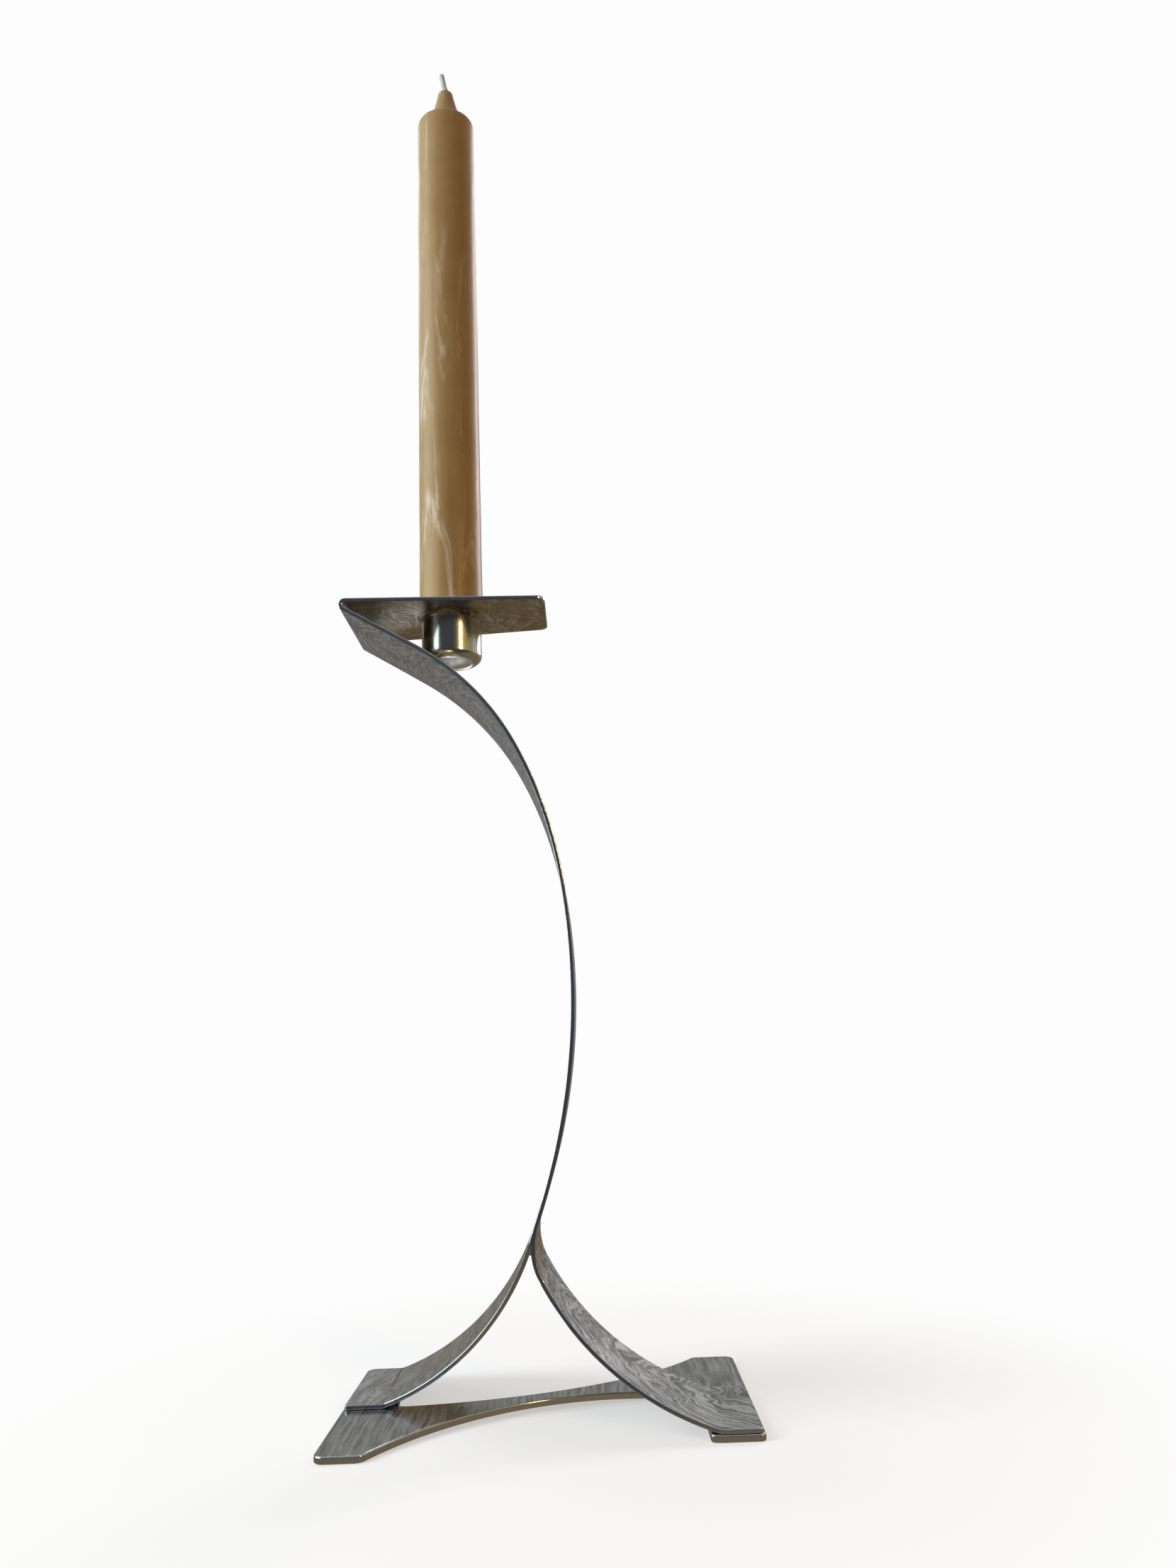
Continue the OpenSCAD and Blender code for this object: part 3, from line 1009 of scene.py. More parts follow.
@dataclass(frozen=True)
class PolishedSilver(Finish):
    """Drawn silver, polished nearly to a mirror, with the haze and pits of use."""

    name: str = "polished_silver"
    tone: Colour = (0.80, 0.79, 0.70)
    dull_tone: Colour = (0.50, 0.45, 0.30)
    rough: float = 0.13

    def shade(self, tree: Tree) -> bpy.types.Node:
        """Builds the shader: haze is slow noise, and pits are the peaks of a fine one.

        Args:
            tree: the material's tree.

        Returns:
            The shader node.
        """
        place = tree.node("ShaderNodeTexCoord", {}, {}).outputs["Object"]
        haze = tree.noise(place, 160.0, 4.0, 0.6, 0.5)
        rings = tree.node("ShaderNodeMapping", {}, {"Vector": place, "Scale": (60.0, 60.0, 2600.0)})
        lines = tree.noise(rings.outputs[0], 1.0, 3.0)
        pits = tree.noise(place, 900.0, 2.0).rise(0.70, 0.78)
        dull = (haze.rise(0.52, 0.75) * 0.5 + pits * 0.7).rise(0.0, 1.0)
        colour = tree.blend(dull, self.tone, self.dull_tone)
        rough = self.rough + haze * 0.10 + pits * 0.3 + (lines - 0.5) * 0.06
        height = haze * 0.06 + lines * 0.004 - pits * 0.02
        return tree.skin(height, {"Base Color": colour, "Metallic": 1.0, "Roughness": rough})


@dataclass(frozen=True)
class SilverSolder(Finish):
    """Silver solder that has flowed and set, duller and browner than the sheet."""

    name: str = "silver_solder"
    tone: Colour = (0.52, 0.46, 0.34)
    burnt_tone: Colour = (0.16, 0.11, 0.06)

    def shade(self, tree: Tree) -> bpy.types.Node:
        """Builds the shader: burnt flux gathers where a coarse noise is high.

        Args:
            tree: the material's tree.

        Returns:
            The shader node.
        """
        place = tree.node("ShaderNodeTexCoord", {}, {}).outputs["Object"]
        flow = tree.noise(place, 380.0, 5.0, 0.6, 0.6)
        grit = tree.noise(place, 1800.0, 2.0)
        colour = tree.blend(flow.rise(0.42, 0.66), self.tone, self.burnt_tone)
        rough = 0.28 + flow * 0.3
        height = flow * 0.25 + grit * 0.04
        return tree.skin(height, {"Base Color": colour, "Metallic": 1.0, "Roughness": rough})


@dataclass(frozen=True)
class CandleWax(Finish):
    """Tan candle wax with a rubbed sheen, faint pull lines and small chips."""

    name: str = "candle_wax"
    tone: Colour = (0.36, 0.225, 0.08)
    pale_tone: Colour = (0.54, 0.40, 0.20)
    bloom_and_highlight_tone: Colour = (0.80, 0.72, 0.58)
    rough: float = 0.42

    def shade(self, tree: Tree) -> bpy.types.Node:
        """Builds the shader: streaks run up the candle, and a pale bloom wanders over it, stronger towards
        the bottom as a painted highlight.

        Args:
            tree: the material's tree.

        Returns:
            The shader node.
        """
        place = tree.node("ShaderNodeTexCoord", {}, {}).outputs["Object"]
        drawn = tree.node("ShaderNodeMapping", {}, {"Vector": place, "Scale": (260.0, 260.0, 9.0)})
        streaks = tree.noise(drawn.outputs[0], 1.0, 4.0, 0.6, 0.3)
        tall = tree.node("ShaderNodeMapping", {}, {"Vector": place, "Scale": (150.0, 150.0, 22.0)})
        bloom = tree.noise(tall.outputs[0], 1.0, 5.0, 0.65, 0.9)
        cloud = tree.noise(place, 70.0, 3.0)
        chips = tree.noise(place, 420.0, 3.0, 0.6).rise(0.72, 0.80)
        colour = tree.blend((streaks - 0.2) * 0.9 + (cloud - 0.5) * 0.6, self.tone, self.pale_tone)
        _, _, up = tree.parts(place)
        # The pale bloom is raised towards the bottom of the candle: a painted highlight over the real bloom
        # patches.
        painted_low_highlight = up.fall(0.28, 0.42)
        colour = tree.blend(
            bloom.rise(0.52, 0.72) * (0.35 + painted_low_highlight * 0.4) + chips * 0.3, colour, self.bloom_and_highlight_tone
        )
        rough = self.rough + (streaks - 0.5) * 0.2 - bloom.rise(0.5, 0.8) * 0.12
        height = streaks * 0.10 + cloud * 0.25 + chips * 0.12
        return tree.skin(
            height,
            {
                "Base Color": colour,
                "Roughness": rough,
                "IOR": 1.44,
                "Subsurface Weight": 0.14,
                "Subsurface Radius": (1.0, 0.55, 0.25),
                "Subsurface Scale": 0.004,
                "Coat Weight": 0.25,
                "Coat Roughness": 0.22,
            },
        )


@dataclass(frozen=True)
class WickCotton(Finish):
    """Braided white cotton, waxed thinly."""

    name: str = "wick_cotton"
    tone: Colour = (0.97, 0.99, 1.0)
    deep_tone: Colour = (0.78, 0.87, 0.91)

    def shade(self, tree: Tree) -> bpy.types.Node:
        """Builds the shader: the braid's strands cross as two slanting waves.

        Args:
            tree: the material's tree.

        Returns:
            The shader node.
        """
        flat = tree.attribute("blank", "Vector")
        turn, up, _ = tree.parts(flat)
        settings = {"wave_type": "BANDS", "bands_direction": "X", "wave_profile": "SIN"}
        slants = [turn * 0.5 + up * 9.0, turn * 0.5 - up * 9.0]
        one, two = (
            tree.number("ShaderNodeTexWave", settings, {"Vector": tree.vector(w, 0.0), "Scale": 1.0}, 1)
            for w in slants
        )
        strands = one * two
        fuzz = tree.noise(flat, 30.0, 3.0)
        colour = tree.blend(strands * 0.8 + fuzz * 0.4, self.deep_tone, self.tone)
        rough = 0.75 + fuzz * 0.2
        height = strands * 0.2 + fuzz * 0.05
        return tree.skin(height, {"Base Color": colour, "Roughness": rough})


# ---------------------------------------------------------------------------------------------
# The object
# ---------------------------------------------------------------------------------------------


@dataclass
class BasePlate:
    """The arched bow-tie plate on which both feet stand. Sizes in millimetres."""

    thickness: float = 2.0
    lobe_edge_l: float = 13.5
    tab_l: float = 15.2
    pad_l: float = 11.6
    arch_rise: float = 1.4
    summit_x: float = 31.7
    summit_y: float = 1.9
    lobe_corner_r: float = 3.2
    tab_corner_r: float = 1.6
    inner_corner_r: float = 5.0
    foot_shift: float = 17.7
    strip_w: float = 40.6
    shoulder_share: float = 1.0 - 0.795
    half_l: float = field(init=False)
    lobe_reach: float = field(init=False)
    tab_reach: float = field(init=False)
    pad_x: float = field(init=False)
    arch_r: float = field(init=False)

    def __post_init__(self) -> None:
        """Takes the outer sizes from the frame."""
        low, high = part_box("base_plate")
        self.half_l = (high.x - low.x) / 2 / MM
        self.lobe_reach = high.y / MM
        self.tab_reach = self.foot_shift + self.strip_w / 2
        self.pad_x = self.half_l - self.pad_l
        self.arch_r = (self.pad_x**2 + self.arch_rise**2) / (2 * self.arch_rise)

    def bend(self, flat: Array) -> tuple[Array, Array, Array]:
        """Arches the plate between its flat pads: its middle line there is a circular arc.

        Args:
            flat: (..., 2) points of the flat blank.

        Returns:
            The points, directions along and normals.
        """
        x = flat[..., 0]
        inside = np.clip(x, -self.pad_x, self.pad_x)
        flatness = np.abs(x) <= self.pad_x
        rise = np.sqrt(self.arch_r**2 - inside**2) - (self.arch_r - self.arch_rise)
        slope = np.where(flatness, -inside / np.sqrt(self.arch_r**2 - inside**2), 0.0)
        size = np.sqrt(1 + slope**2)
        nought = np.zeros_like(x)
        along = np.stack([1 / size, nought, slope / size], -1)
        up = np.stack([-slope / size, nought, 1 / size], -1)
        at = np.stack([x, flat[..., 1], self.thickness / 2 + np.where(flatness, rise, 0.0)], -1)
        return at, along, up

    def front_edge(self) -> Array:
        """The front edge from the left end to the right end.

        It runs round the lobe's corner, along the lobe, over the concave arc, round the inner
        corner of the tab, down the tab's side and along the tab's end. The rear edge is this
        edge turned half round, so the sections are matched in pairs: first with last.

        Returns:
            An (n, 2) array in millimetres.
        """
        lobe_x, tab_x = self.half_l - self.lobe_edge_l, self.half_l - self.tab_l
        reach = self.lobe_reach
        arc_r = ((self.summit_x + lobe_x) ** 2 + (self.summit_y + reach) ** 2) / (
            2 * (self.summit_y + reach)
        )
        middle = np.array([self.summit_x, self.summit_y - arc_r])
        inner_r = self.inner_corner_r
        inner_x = tab_x - inner_r
        inner_y = middle[1] + math.sqrt((arc_r - inner_r) ** 2 - (inner_x - middle[0]) ** 2)
        touch = math.atan2(inner_y - middle[1], inner_x - middle[0])
        start = math.atan2(-reach - middle[1], -lobe_x - middle[0])

        def arc(first: float, last: float, count: int) -> Array:
            """Points of the concave edge between two angles.

            Args:
                first: the first angle.
                last: the last angle.
                count: how many points to give.

            Returns:
                The (count, 2) points.
            """
            angle = np.linspace(first, last, count)
            return middle + arc_r * np.stack([np.cos(angle), np.sin(angle)], 1)

        part = start + (touch - start) * self.shoulder_share
        lobe = rounded_corner(
            np.array([-self.half_l, 0.0]),
            np.array([-self.half_l, -reach]),
            np.array([-lobe_x, -reach]),
            self.lobe_corner_r,
            12,
        )
        shoulder = arc(start, part, 200)
        soft = rounded_corner(
            np.array([-self.half_l, -reach]), shoulder[0], shoulder[40], 3.5, 10
        )
        gone = np.linalg.norm(shoulder - shoulder[0], axis=1)
        kept = shoulder[gone > np.linalg.norm(soft[-1] - shoulder[0])]
        lobe = np.concatenate([lobe, evenly(np.array([lobe[-1], soft[0]]), 14)[1:]])
        side = np.concatenate([soft, kept])
        turn = np.linspace(touch, 0.0, 12)
        corner = np.array([inner_x, inner_y]) + inner_r * np.stack([np.cos(turn), np.sin(turn)], 1)
        tab_corner = np.array([tab_x, -self.tab_reach])
        tab_end = np.array([self.half_l, -self.tab_reach])
        down = rounded_corner(corner[-1], tab_corner, tab_end, 1.0, 6)
        down = np.concatenate([corner, evenly(np.array([corner[-1], down[0]]), 26)[1:], down[1:]])
        tab = rounded_corner(
            tab_corner, tab_end, np.array([self.half_l, 0.0]), self.tab_corner_r, 12
        )
        tab = np.concatenate([evenly(np.array([down[-1], tab[0]]), 15)[1:], tab[1:]])
        wide = 44
        side = evenly(side, wide)
        return np.concatenate([lobe, side[1:], arc(part, touch, 96)[1:], evenly(down, wide)[1:], tab])

    def build(self) -> bpy.types.Object:
        """Makes the plate and dresses it.

        Returns:
            The piece.
        """
        front = self.front_edge()
        rear = -front[::-1]
        blank = Blank(front, rear, self.thickness, edge_r=0.45, columns=64)
        piece = blank.surface("bow_tie_plate", self.bend).piece()
        finish = BrushedSilver(
            name="base_silver", rough=0.21, streak=8.0, cross=0.45, bow=0.0, sway=0.12, relief=0.026,
            dent=0.12, tone=(0.88, 0.885, 0.89), shade_tone=(0.42, 0.425, 0.44),
        )
        return finish.dress(piece, "stick", "silver_brushed", "base_plate")


@dataclass
class BentStrips:
    """The main strip and the left leg, bent from flat blanks. Sizes in millimetres."""

    thickness: float = 1.3
    strip_w: float = 40.6
    belly_w: float = 52.2
    fold_w: float = 42.6
    foot_l: float = 10.9
    foot_inset: float = 0.65
    foot_shift: float = 17.7
    foot_corner_r: float = 3.0
    crease_r: float = 4.0
    right_slope: float = 14.0
    left_slope: float = 21.0
    fork_x: float = 0.6
    fork_z: float = 39.2
    fork_r: float = 18.9
    stem_lean: float = 20.7
    sweep_low_r: float = 202.0
    sweep_mid_r: float = 137.0
    sweep_top_r: float = 90.7
    sweep_low_turn: float = 10.0
    sweep_mid_turn: float = 16.8
    top_slope: float = 31.1
    top_l: float = 26.0
    fold_r: float = 1.5
    plate_end_w: float = 30.7
    plate_skew: float = -2.4
    plate_corner_r: float = 3.0
    bore_r: float = 9.5
    belly_share: float = 0.66
    plate_l: float = 66.1
    meet_angle: float = 176.0
    foot_end: float = field(init=False)
    plate_z: float = field(init=False)
    cup_x: float = field(init=False)
    fork_centre: tuple[float, float] = field(init=False)
    main: MiddleLine = field(init=False)
    left: MiddleLine = field(init=False)

    def __post_init__(self) -> None:
        """Lays out both middle lines from the frame's boxes."""
        base_low, base_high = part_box("base_plate")
        foot_low, strip_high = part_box("main_strip")
        cup_low, cup_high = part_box("candle_cup")
        half_l = (base_high.x - base_low.x) / 2 / MM
        foot_z = foot_low.z / MM + self.thickness / 2
        self.foot_end = half_l - self.foot_inset
        self.plate_z = strip_high.z / MM - self.thickness
        self.cup_x = (cup_low.x + cup_high.x) / 2 / MM
        start = Pose(self.foot_end, foot_z, 180.0)
        foot = [Run(self.foot_l), Run.arc(self.crease_r, -self.right_slope, 0.2)]
        pose = start.after(foot[0]).after(foot[1])
        leg = pose.arc_to(self.fork_x, self.fork_z)
        fork = pose.after(leg)
        turn = fork.heading - (90 - self.stem_lean)
        self.fork_centre = fork.centre(self.fork_r, -turn)
        bend = Run.arc(self.fork_r, -turn, 0.5)
        low = Run.arc(self.sweep_low_r, self.stem_lean)
        top_turn = 90 - self.top_slope - self.sweep_low_turn - self.sweep_mid_turn
        upper = [
            Run.arc(self.sweep_low_r, self.sweep_low_turn),
            Run.arc(self.sweep_mid_r, self.sweep_mid_turn),
            Run.arc(self.sweep_top_r, top_turn),
            Run(self.top_l, 0.0, 0.9),
            Run.arc(self.fold_r, -(180 - self.top_slope), 0.22),
        ]
        rise = Pose(0.0, 0.0, 90.0)
        for run in upper:
            rise = rise.after(run)
        upright = fork.after(bend).after(low)
        straight = Run(self.plate_z + self.thickness / 2 - rise.z - upright.z)
        stem = [*foot, leg, bend, low, straight, *upper]
        self.main = MiddleLine(start, [*stem, Run(self.plate_l, 0.0, 0.7)])
        self.left = self._left_line(Pose(-self.foot_end, foot_z, 0.0))

    def _left_line(self, start: Pose) -> MiddleLine:
        """The left leg's middle line, which runs on a little way into the stem.

        Args:
            start: the pose at the foot's end.

        Returns:
            The middle line.
        """
        foot = [Run(self.foot_l), Run.arc(self.crease_r, self.left_slope, 0.2)]
        pose = start.after(foot[0]).after(foot[1])
        meet_r = self.fork_r + self.thickness / 2
        angle = math.radians(self.meet_angle)
        x = self.fork_centre[0] + meet_r * math.cos(angle)
        z = self.fork_centre[1] + meet_r * math.sin(angle)
        leg = pose.arc_to(x, z)
        radius = leg.length / math.radians(abs(leg.turn))
        return MiddleLine(start, [*foot, leg, Run.arc(radius, math.degrees(3.4 / radius), 0.5)])

    def _main_blank(self) -> Blank:
        """The main strip's blank.

        The leg's edges move sideways in proportion to length, from the foot to the fork. Up the
        stem the half width swells and shrinks as half cosines of length. The drip plate tapers.

        Returns:
            The blank.
        """
        line = self.main
        s = line.length
        ends = line.ends
        crease, fork, fold, plate = ends[2], ends[3], ends[10], ends[11]
        half = self.strip_w / 2
        shift = -self.foot_shift * (1 - np.clip((s - crease) / (fork - crease), 0, 1))
        share = np.clip((s - ends[4]) / (fold - ends[4]), 0, 1)
        swell = (1 - np.cos(np.pi * np.clip(share / self.belly_share, 0, 1))) / 2
        past = np.clip((share - self.belly_share) / (1 - self.belly_share), 0, 1)
        shrink = (1 - np.cos(np.pi * past)) / 2
        wide = half + (self.belly_w / 2 - half) * swell + (self.fold_w - self.belly_w) / 2 * shrink
        out = np.clip((s - plate) / (s[-1] - plate), 0, 1)
        front = shift - wide + (self.plate_skew - self.plate_end_w / 2 + self.fold_w / 2) * out
        rear = shift + wide + (self.plate_skew + self.plate_end_w / 2 - self.fold_w / 2) * out
        centre = plate + self.cup_x - line.poses[-2].x
        return self._rounded(
            np.stack([s, front], 1), np.stack([s, rear], 1), (0.8, 0.8),
            (self.plate_corner_r, self.plate_corner_r), hole=(centre, 0.0, self.bore_r),
        )

    def _left_blank(self) -> Blank:
        """The left leg's blank, whose edges move sideways in proportion to length.

        Returns:
            The blank.
        """
        line = self.left
        s, ends = line.length, line.ends
        shift = self.foot_shift * (1 - np.clip((s - ends[2]) / (ends[3] - ends[2]), 0, 1))
        half = self.strip_w / 2
        return self._rounded(
            np.stack([s, shift - half], 1), np.stack([s, shift + half], 1),
            (0.8, self.foot_corner_r), (0.4, 0.4),
        )

    def _rounded(
        self,
        front: Array,
        rear: Array,
        first_r: tuple[float, float],
        last_r: tuple[float, float],
        hole: tuple[float, float, float] | None = None,
    ) -> Blank:
        """Rounds the corners of a strip's blank.

        Args:
            front: (n, 2) front edge with square corners.
            rear: (n, 2) rear edge with square corners.
            first_r: corner radii at the first end, front and rear.
            last_r: corner radii at the last end, front and rear.
            hole: centre and radius of a hole.

        Returns:
            The blank.
        """
        edges = []
        for k, (edge, other) in enumerate(((front, rear), (rear, front))):
            first = rounded_corner(other[0], edge[0], edge[8], first_r[k], 10)
            last = rounded_corner(edge[-9], edge[-1], other[-1], last_r[k], 10)
            edges.append((first, edge, last))
        low = max(e[0][-1, 0] for e in edges)
        high = min(e[2][0, 0] for e in edges)
        inside = (front[:, 0] > low + 0.05) & (front[:, 0] < high - 0.05)
        front_edge, rear_edge = (np.concatenate([a, e[inside], c]) for a, e, c in edges)
        return Blank(front_edge, rear_edge, self.thickness, hole=hole)

    def build(self) -> list[bpy.types.Object]:
        """Makes both strips and dresses them.

        Returns:
            The two pieces.
        """
        main = self._main_blank().surface("stem_and_right_leg", self.main.bend).piece()
        left_surface = self._left_blank().surface("left_leg_strip", self.left.bend)
        self._cope(left_surface)
        left = left_surface.piece()
        plate_start = self.main.ends[10] / 10
        # From plate_start on, the strip's underside gets a painted brown reflection.
        strip = BrushedSilver(
            name="strip_silver", painted_reflection_from=plate_start, streak=3.6, cross=0.7, scale=0.30, bow=0.20, sway=0.7,
            tone=(0.86, 0.865, 0.865), shade_tone=(0.34, 0.345, 0.355), painted_reflection_tone=(0.42, 0.35, 0.19),
        )
        # The leg gets a dark line of painted shade along the crease of its foot's bend.
        leg = BrushedSilver(
            name="leg_silver", sway=0.4, bow=-0.06, crease=self.left.ends[1] / 10 + 0.05,
            tone=(0.78, 0.775, 0.76), shade_tone=(0.50, 0.495, 0.48), streak=5.0, cross=0.8, scale=0.16,
        )
        return [
            strip.dress(main, "stick", "silver_brushed", "main_strip"),
            leg.dress(left, "stick", "silver_brushed", "left_leg"),
        ]

    def _cope(self, surface: Surface) -> None:
        """Fits the top of the left leg to the stem.

        Points nearer to the fork's axis than the stem's outer face less a little move out along
        their radius, so that the leg ends on a round seat inside the stem's wall.

        Args:
            surface: the leg's surface, changed in place.
        """
        seat = self.fork_r + self.thickness / 2 - 0.35
        away = surface.points[:, [0, 2]] - np.array(self.fork_centre)
        size = np.linalg.norm(away, axis=1, keepdims=True)
        moved = np.array(self.fork_centre) + away / size * np.maximum(size, seat)
        surface.points[:, [0, 2]] = moved


@dataclass
class SolderWork:
    """The solder that joins the pieces of silver. Sizes in millimetres."""

    strips: BentStrips
    inset: float = 0.5

    def foot_layer(self, name: str, node: str, seed: int) -> bpy.types.Object:
        """The thin layer under a foot: a small sheet whose outline ripples where it flowed.

        Args:
            name: the piece's name.
            node: the frame's node that it stands for.
            seed: picks the ripple.

        Returns:
            The piece.
        """
        low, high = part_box(node)
        x0, x1, y0, y1 = low.x / MM, high.x / MM, low.y / MM, high.y / MM
        share = np.linspace(0.0, 1.0, 90)
        wave = ripple(share, seed, 9, 2.0) * 0.22 * np.sin(np.pi * share) ** 0.3
        across = y0 + (y1 - y0) * share
        left = np.stack([across, -(x1 + wave)], 1)
        right = np.stack([across, -(x0 + np.roll(wave, 31))], 1)
        thickness = (high.z - low.z) / MM
        middle = (low.z + high.z) / 2 / MM

        def lay(flat: Array) -> tuple[Array, Array, Array]:
            """Lays the blank, whose length is Y and whose width is -X, flat at its height.

            Args:
                flat: (..., 2) points of the blank.

            Returns:
                The points, directions along and normals.
            """
            nought = np.zeros(flat.shape[:-1])
            at = np.stack([-flat[..., 1], flat[..., 0], nought + middle], -1)
            along = np.stack([nought, nought + 1, nought], -1)
            return at, along, np.stack([nought, nought, nought + 1], -1)

        surface = Blank(left, right, thickness, edge_r=0.06, columns=12).surface(name, lay)
        surface.normals = None
        return SilverSolder(name="foot_solder").dress(surface.piece(), "stick", "solder", node)

    def cup_fillet(self) -> bpy.types.Object:
        """The fillet round the cup: a hollow quarter round whose size ripples round it.

        Returns:
            The piece.
        """
        low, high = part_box("cup_solder")
        cup_low, cup_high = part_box("candle_cup")
        centre = ((low.x + high.x) / 2 / MM, 0.0)
        cup_r = (cup_high.x - cup_low.x) / 2 / MM
        size = (high.x - low.x) / 2 / MM - cup_r
        z = high.z / MM
        angle = np.radians(np.linspace(180.0, 90.0, 9))
        hollow = np.stack([cup_r + size + size * np.cos(angle), z - size + size * np.sin(angle)], 1)
        inside = np.array([[cup_r - 0.1, z + 0.05], [cup_r - 0.1, z - size]])
        profile = np.concatenate([inside, hollow, [[cup_r + size, z + 0.05]]])[::-1]

        def lump(turn: Array, place: Array) -> Array:
            """Radial ripple, which fades towards the cup.

            Args:
                turn: angle round the cup.
                place: radius and height.

            Returns:
                The radial move in millimetres.
            """
            far = np.clip((place[..., 0] - cup_r) / size, 0, 1)
            return far * 0.28 * ripple(turn / (2 * np.pi), 7, 7, 1.0) - 0.1 * far

        surface = turned("cup_fillet", profile[::-1], centre, 160, lump, closed=True)
        return SilverSolder(name="cup_solder").dress(surface.piece(), "stick", "solder", "cup_solder")

    def fork_seam(self) -> bpy.types.Object:
        """The seam where the left leg meets the stem: a slim bead, rippled along its length.

        A small circle is carried along Y; its radius and place ripple with the length.

        Returns:
            The piece.
        """
        strips = self.strips
        meet_r = strips.fork_r + strips.thickness / 2
        angle = math.radians(strips.meet_angle + 7.2)
        x = strips.fork_centre[0] + meet_r * math.cos(angle)
        z = strips.fork_centre[1] + meet_r * math.sin(angle)
        count, around = 120, 20
        share = np.linspace(0.0, 1.0, count)[:, None]
        turn = np.linspace(0.0, 2 * np.pi, around, endpoint=False)[None]
        closed = np.clip(np.minimum(share, 1 - share) * 30, 0.0, 1.0) ** 0.5
        radius = (0.55 + 0.12 * ripple(share[:, 0], 3, 9, 3.0)[:, None]) * closed
        half = strips.strip_w / 2 - 0.3
        y = -half + 2 * half * share + 0 * turn
        points = np.stack(
            [x - 0.1 + radius * np.cos(turn), y, z - 0.1 + 1.3 * radius * np.sin(turn)], -1
        )
        number = np.arange(count * around).reshape(count, around)
        number[0], number[-1] = number[0, 0], number[-1, 0]
        after = np.roll(number, -1, 1)
        quads = np.stack([number[:-1], number[1:], after[1:], after[:-1]], -1).reshape(-1, 4)
        first, last = quads[:, 0] == quads[:, 3], quads[:, 1] == quads[:, 2]
        quads[first] = quads[first][:, [0, 1, 2, 2]]
        quads[last] = quads[last][:, [0, 1, 3, 3]]
        flat = points.reshape(-1, 3)
        surface = Surface("fork_seam", flat, None, quads, flat / 10, np.zeros(len(flat)))
        return SilverSolder(name="fork_solder").dress(surface.piece(), "stick", "solder", "fork_solder")

    def build(self) -> list[bpy.types.Object]:
        """Makes every solder piece.

        Returns:
            The four pieces.
        """
        return [
            self.foot_layer("left_foot_seam", "left_foot_solder", 11),
            self.foot_layer("right_foot_seam", "right_foot_solder", 12),
            self.cup_fillet(),
            self.fork_seam(),
        ]


@dataclass
class Cup:
    """The drawn cup under the drip plate. Sizes in millimetres."""

    wall: float = 0.8
    edge_r: float = 2.6
    belly: float = 0.5

    def build(self) -> bpy.types.Object:
        """Makes the cup: its wall's profile, outside and inside, carried round its axis.

        The outer bottom edge is a quarter circle that is drawn in a little at its foot, and the
        bottom hollows by a shallow cosine towards the middle.

        Returns:
            The piece.
        """
        low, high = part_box("candle_cup")
        centre = ((low.x + high.x) / 2 / MM, 0.0)
        r, bottom, top = (high.x - low.x) / 2 / MM, low.z / MM, high.z / MM
        edge = np.radians(np.linspace(-90.0, 0.0, 14))
        floor_r = np.linspace(0.0, r - self.edge_r, 12)
        rise = self.belly * np.sin(np.pi * np.linspace(0.0, 1.0, 14) / 2) ** 2
        outer = np.concatenate(
            [
                np.stack([floor_r, bottom + 0.12 * (1 - np.cos(np.pi * floor_r / floor_r[-1]))], 1)[:-1],
                np.stack([r - self.edge_r - self.belly + rise + self.edge_r * np.cos(edge),
                          bottom + self.edge_r + self.edge_r * np.sin(edge)], 1),
                np.stack([np.full(12, r), np.linspace(bottom + self.edge_r + 1.0, top, 12)], 1),
            ]
        )
        inner_r, inner_edge = r - self.wall, self.edge_r - self.wall
        inner = np.concatenate(
            [
                np.stack([np.full(4, inner_r), np.linspace(top, bottom + self.edge_r, 4)], 1),
                np.stack(
                    [
                        inner_r - inner_edge + inner_edge * np.cos(edge[::-1]),
                        bottom + self.wall + inner_edge + inner_edge * np.sin(edge[::-1]),
                    ],
                    1,
                )[1:],
                [[0.0, bottom + self.wall + 0.1]],
            ]
        )
        surface = turned("drawn_cup", np.concatenate([outer, inner]), centre, 160)
        return PolishedSilver().dress(surface.piece(), "stick", "silver_polished", "candle_cup")


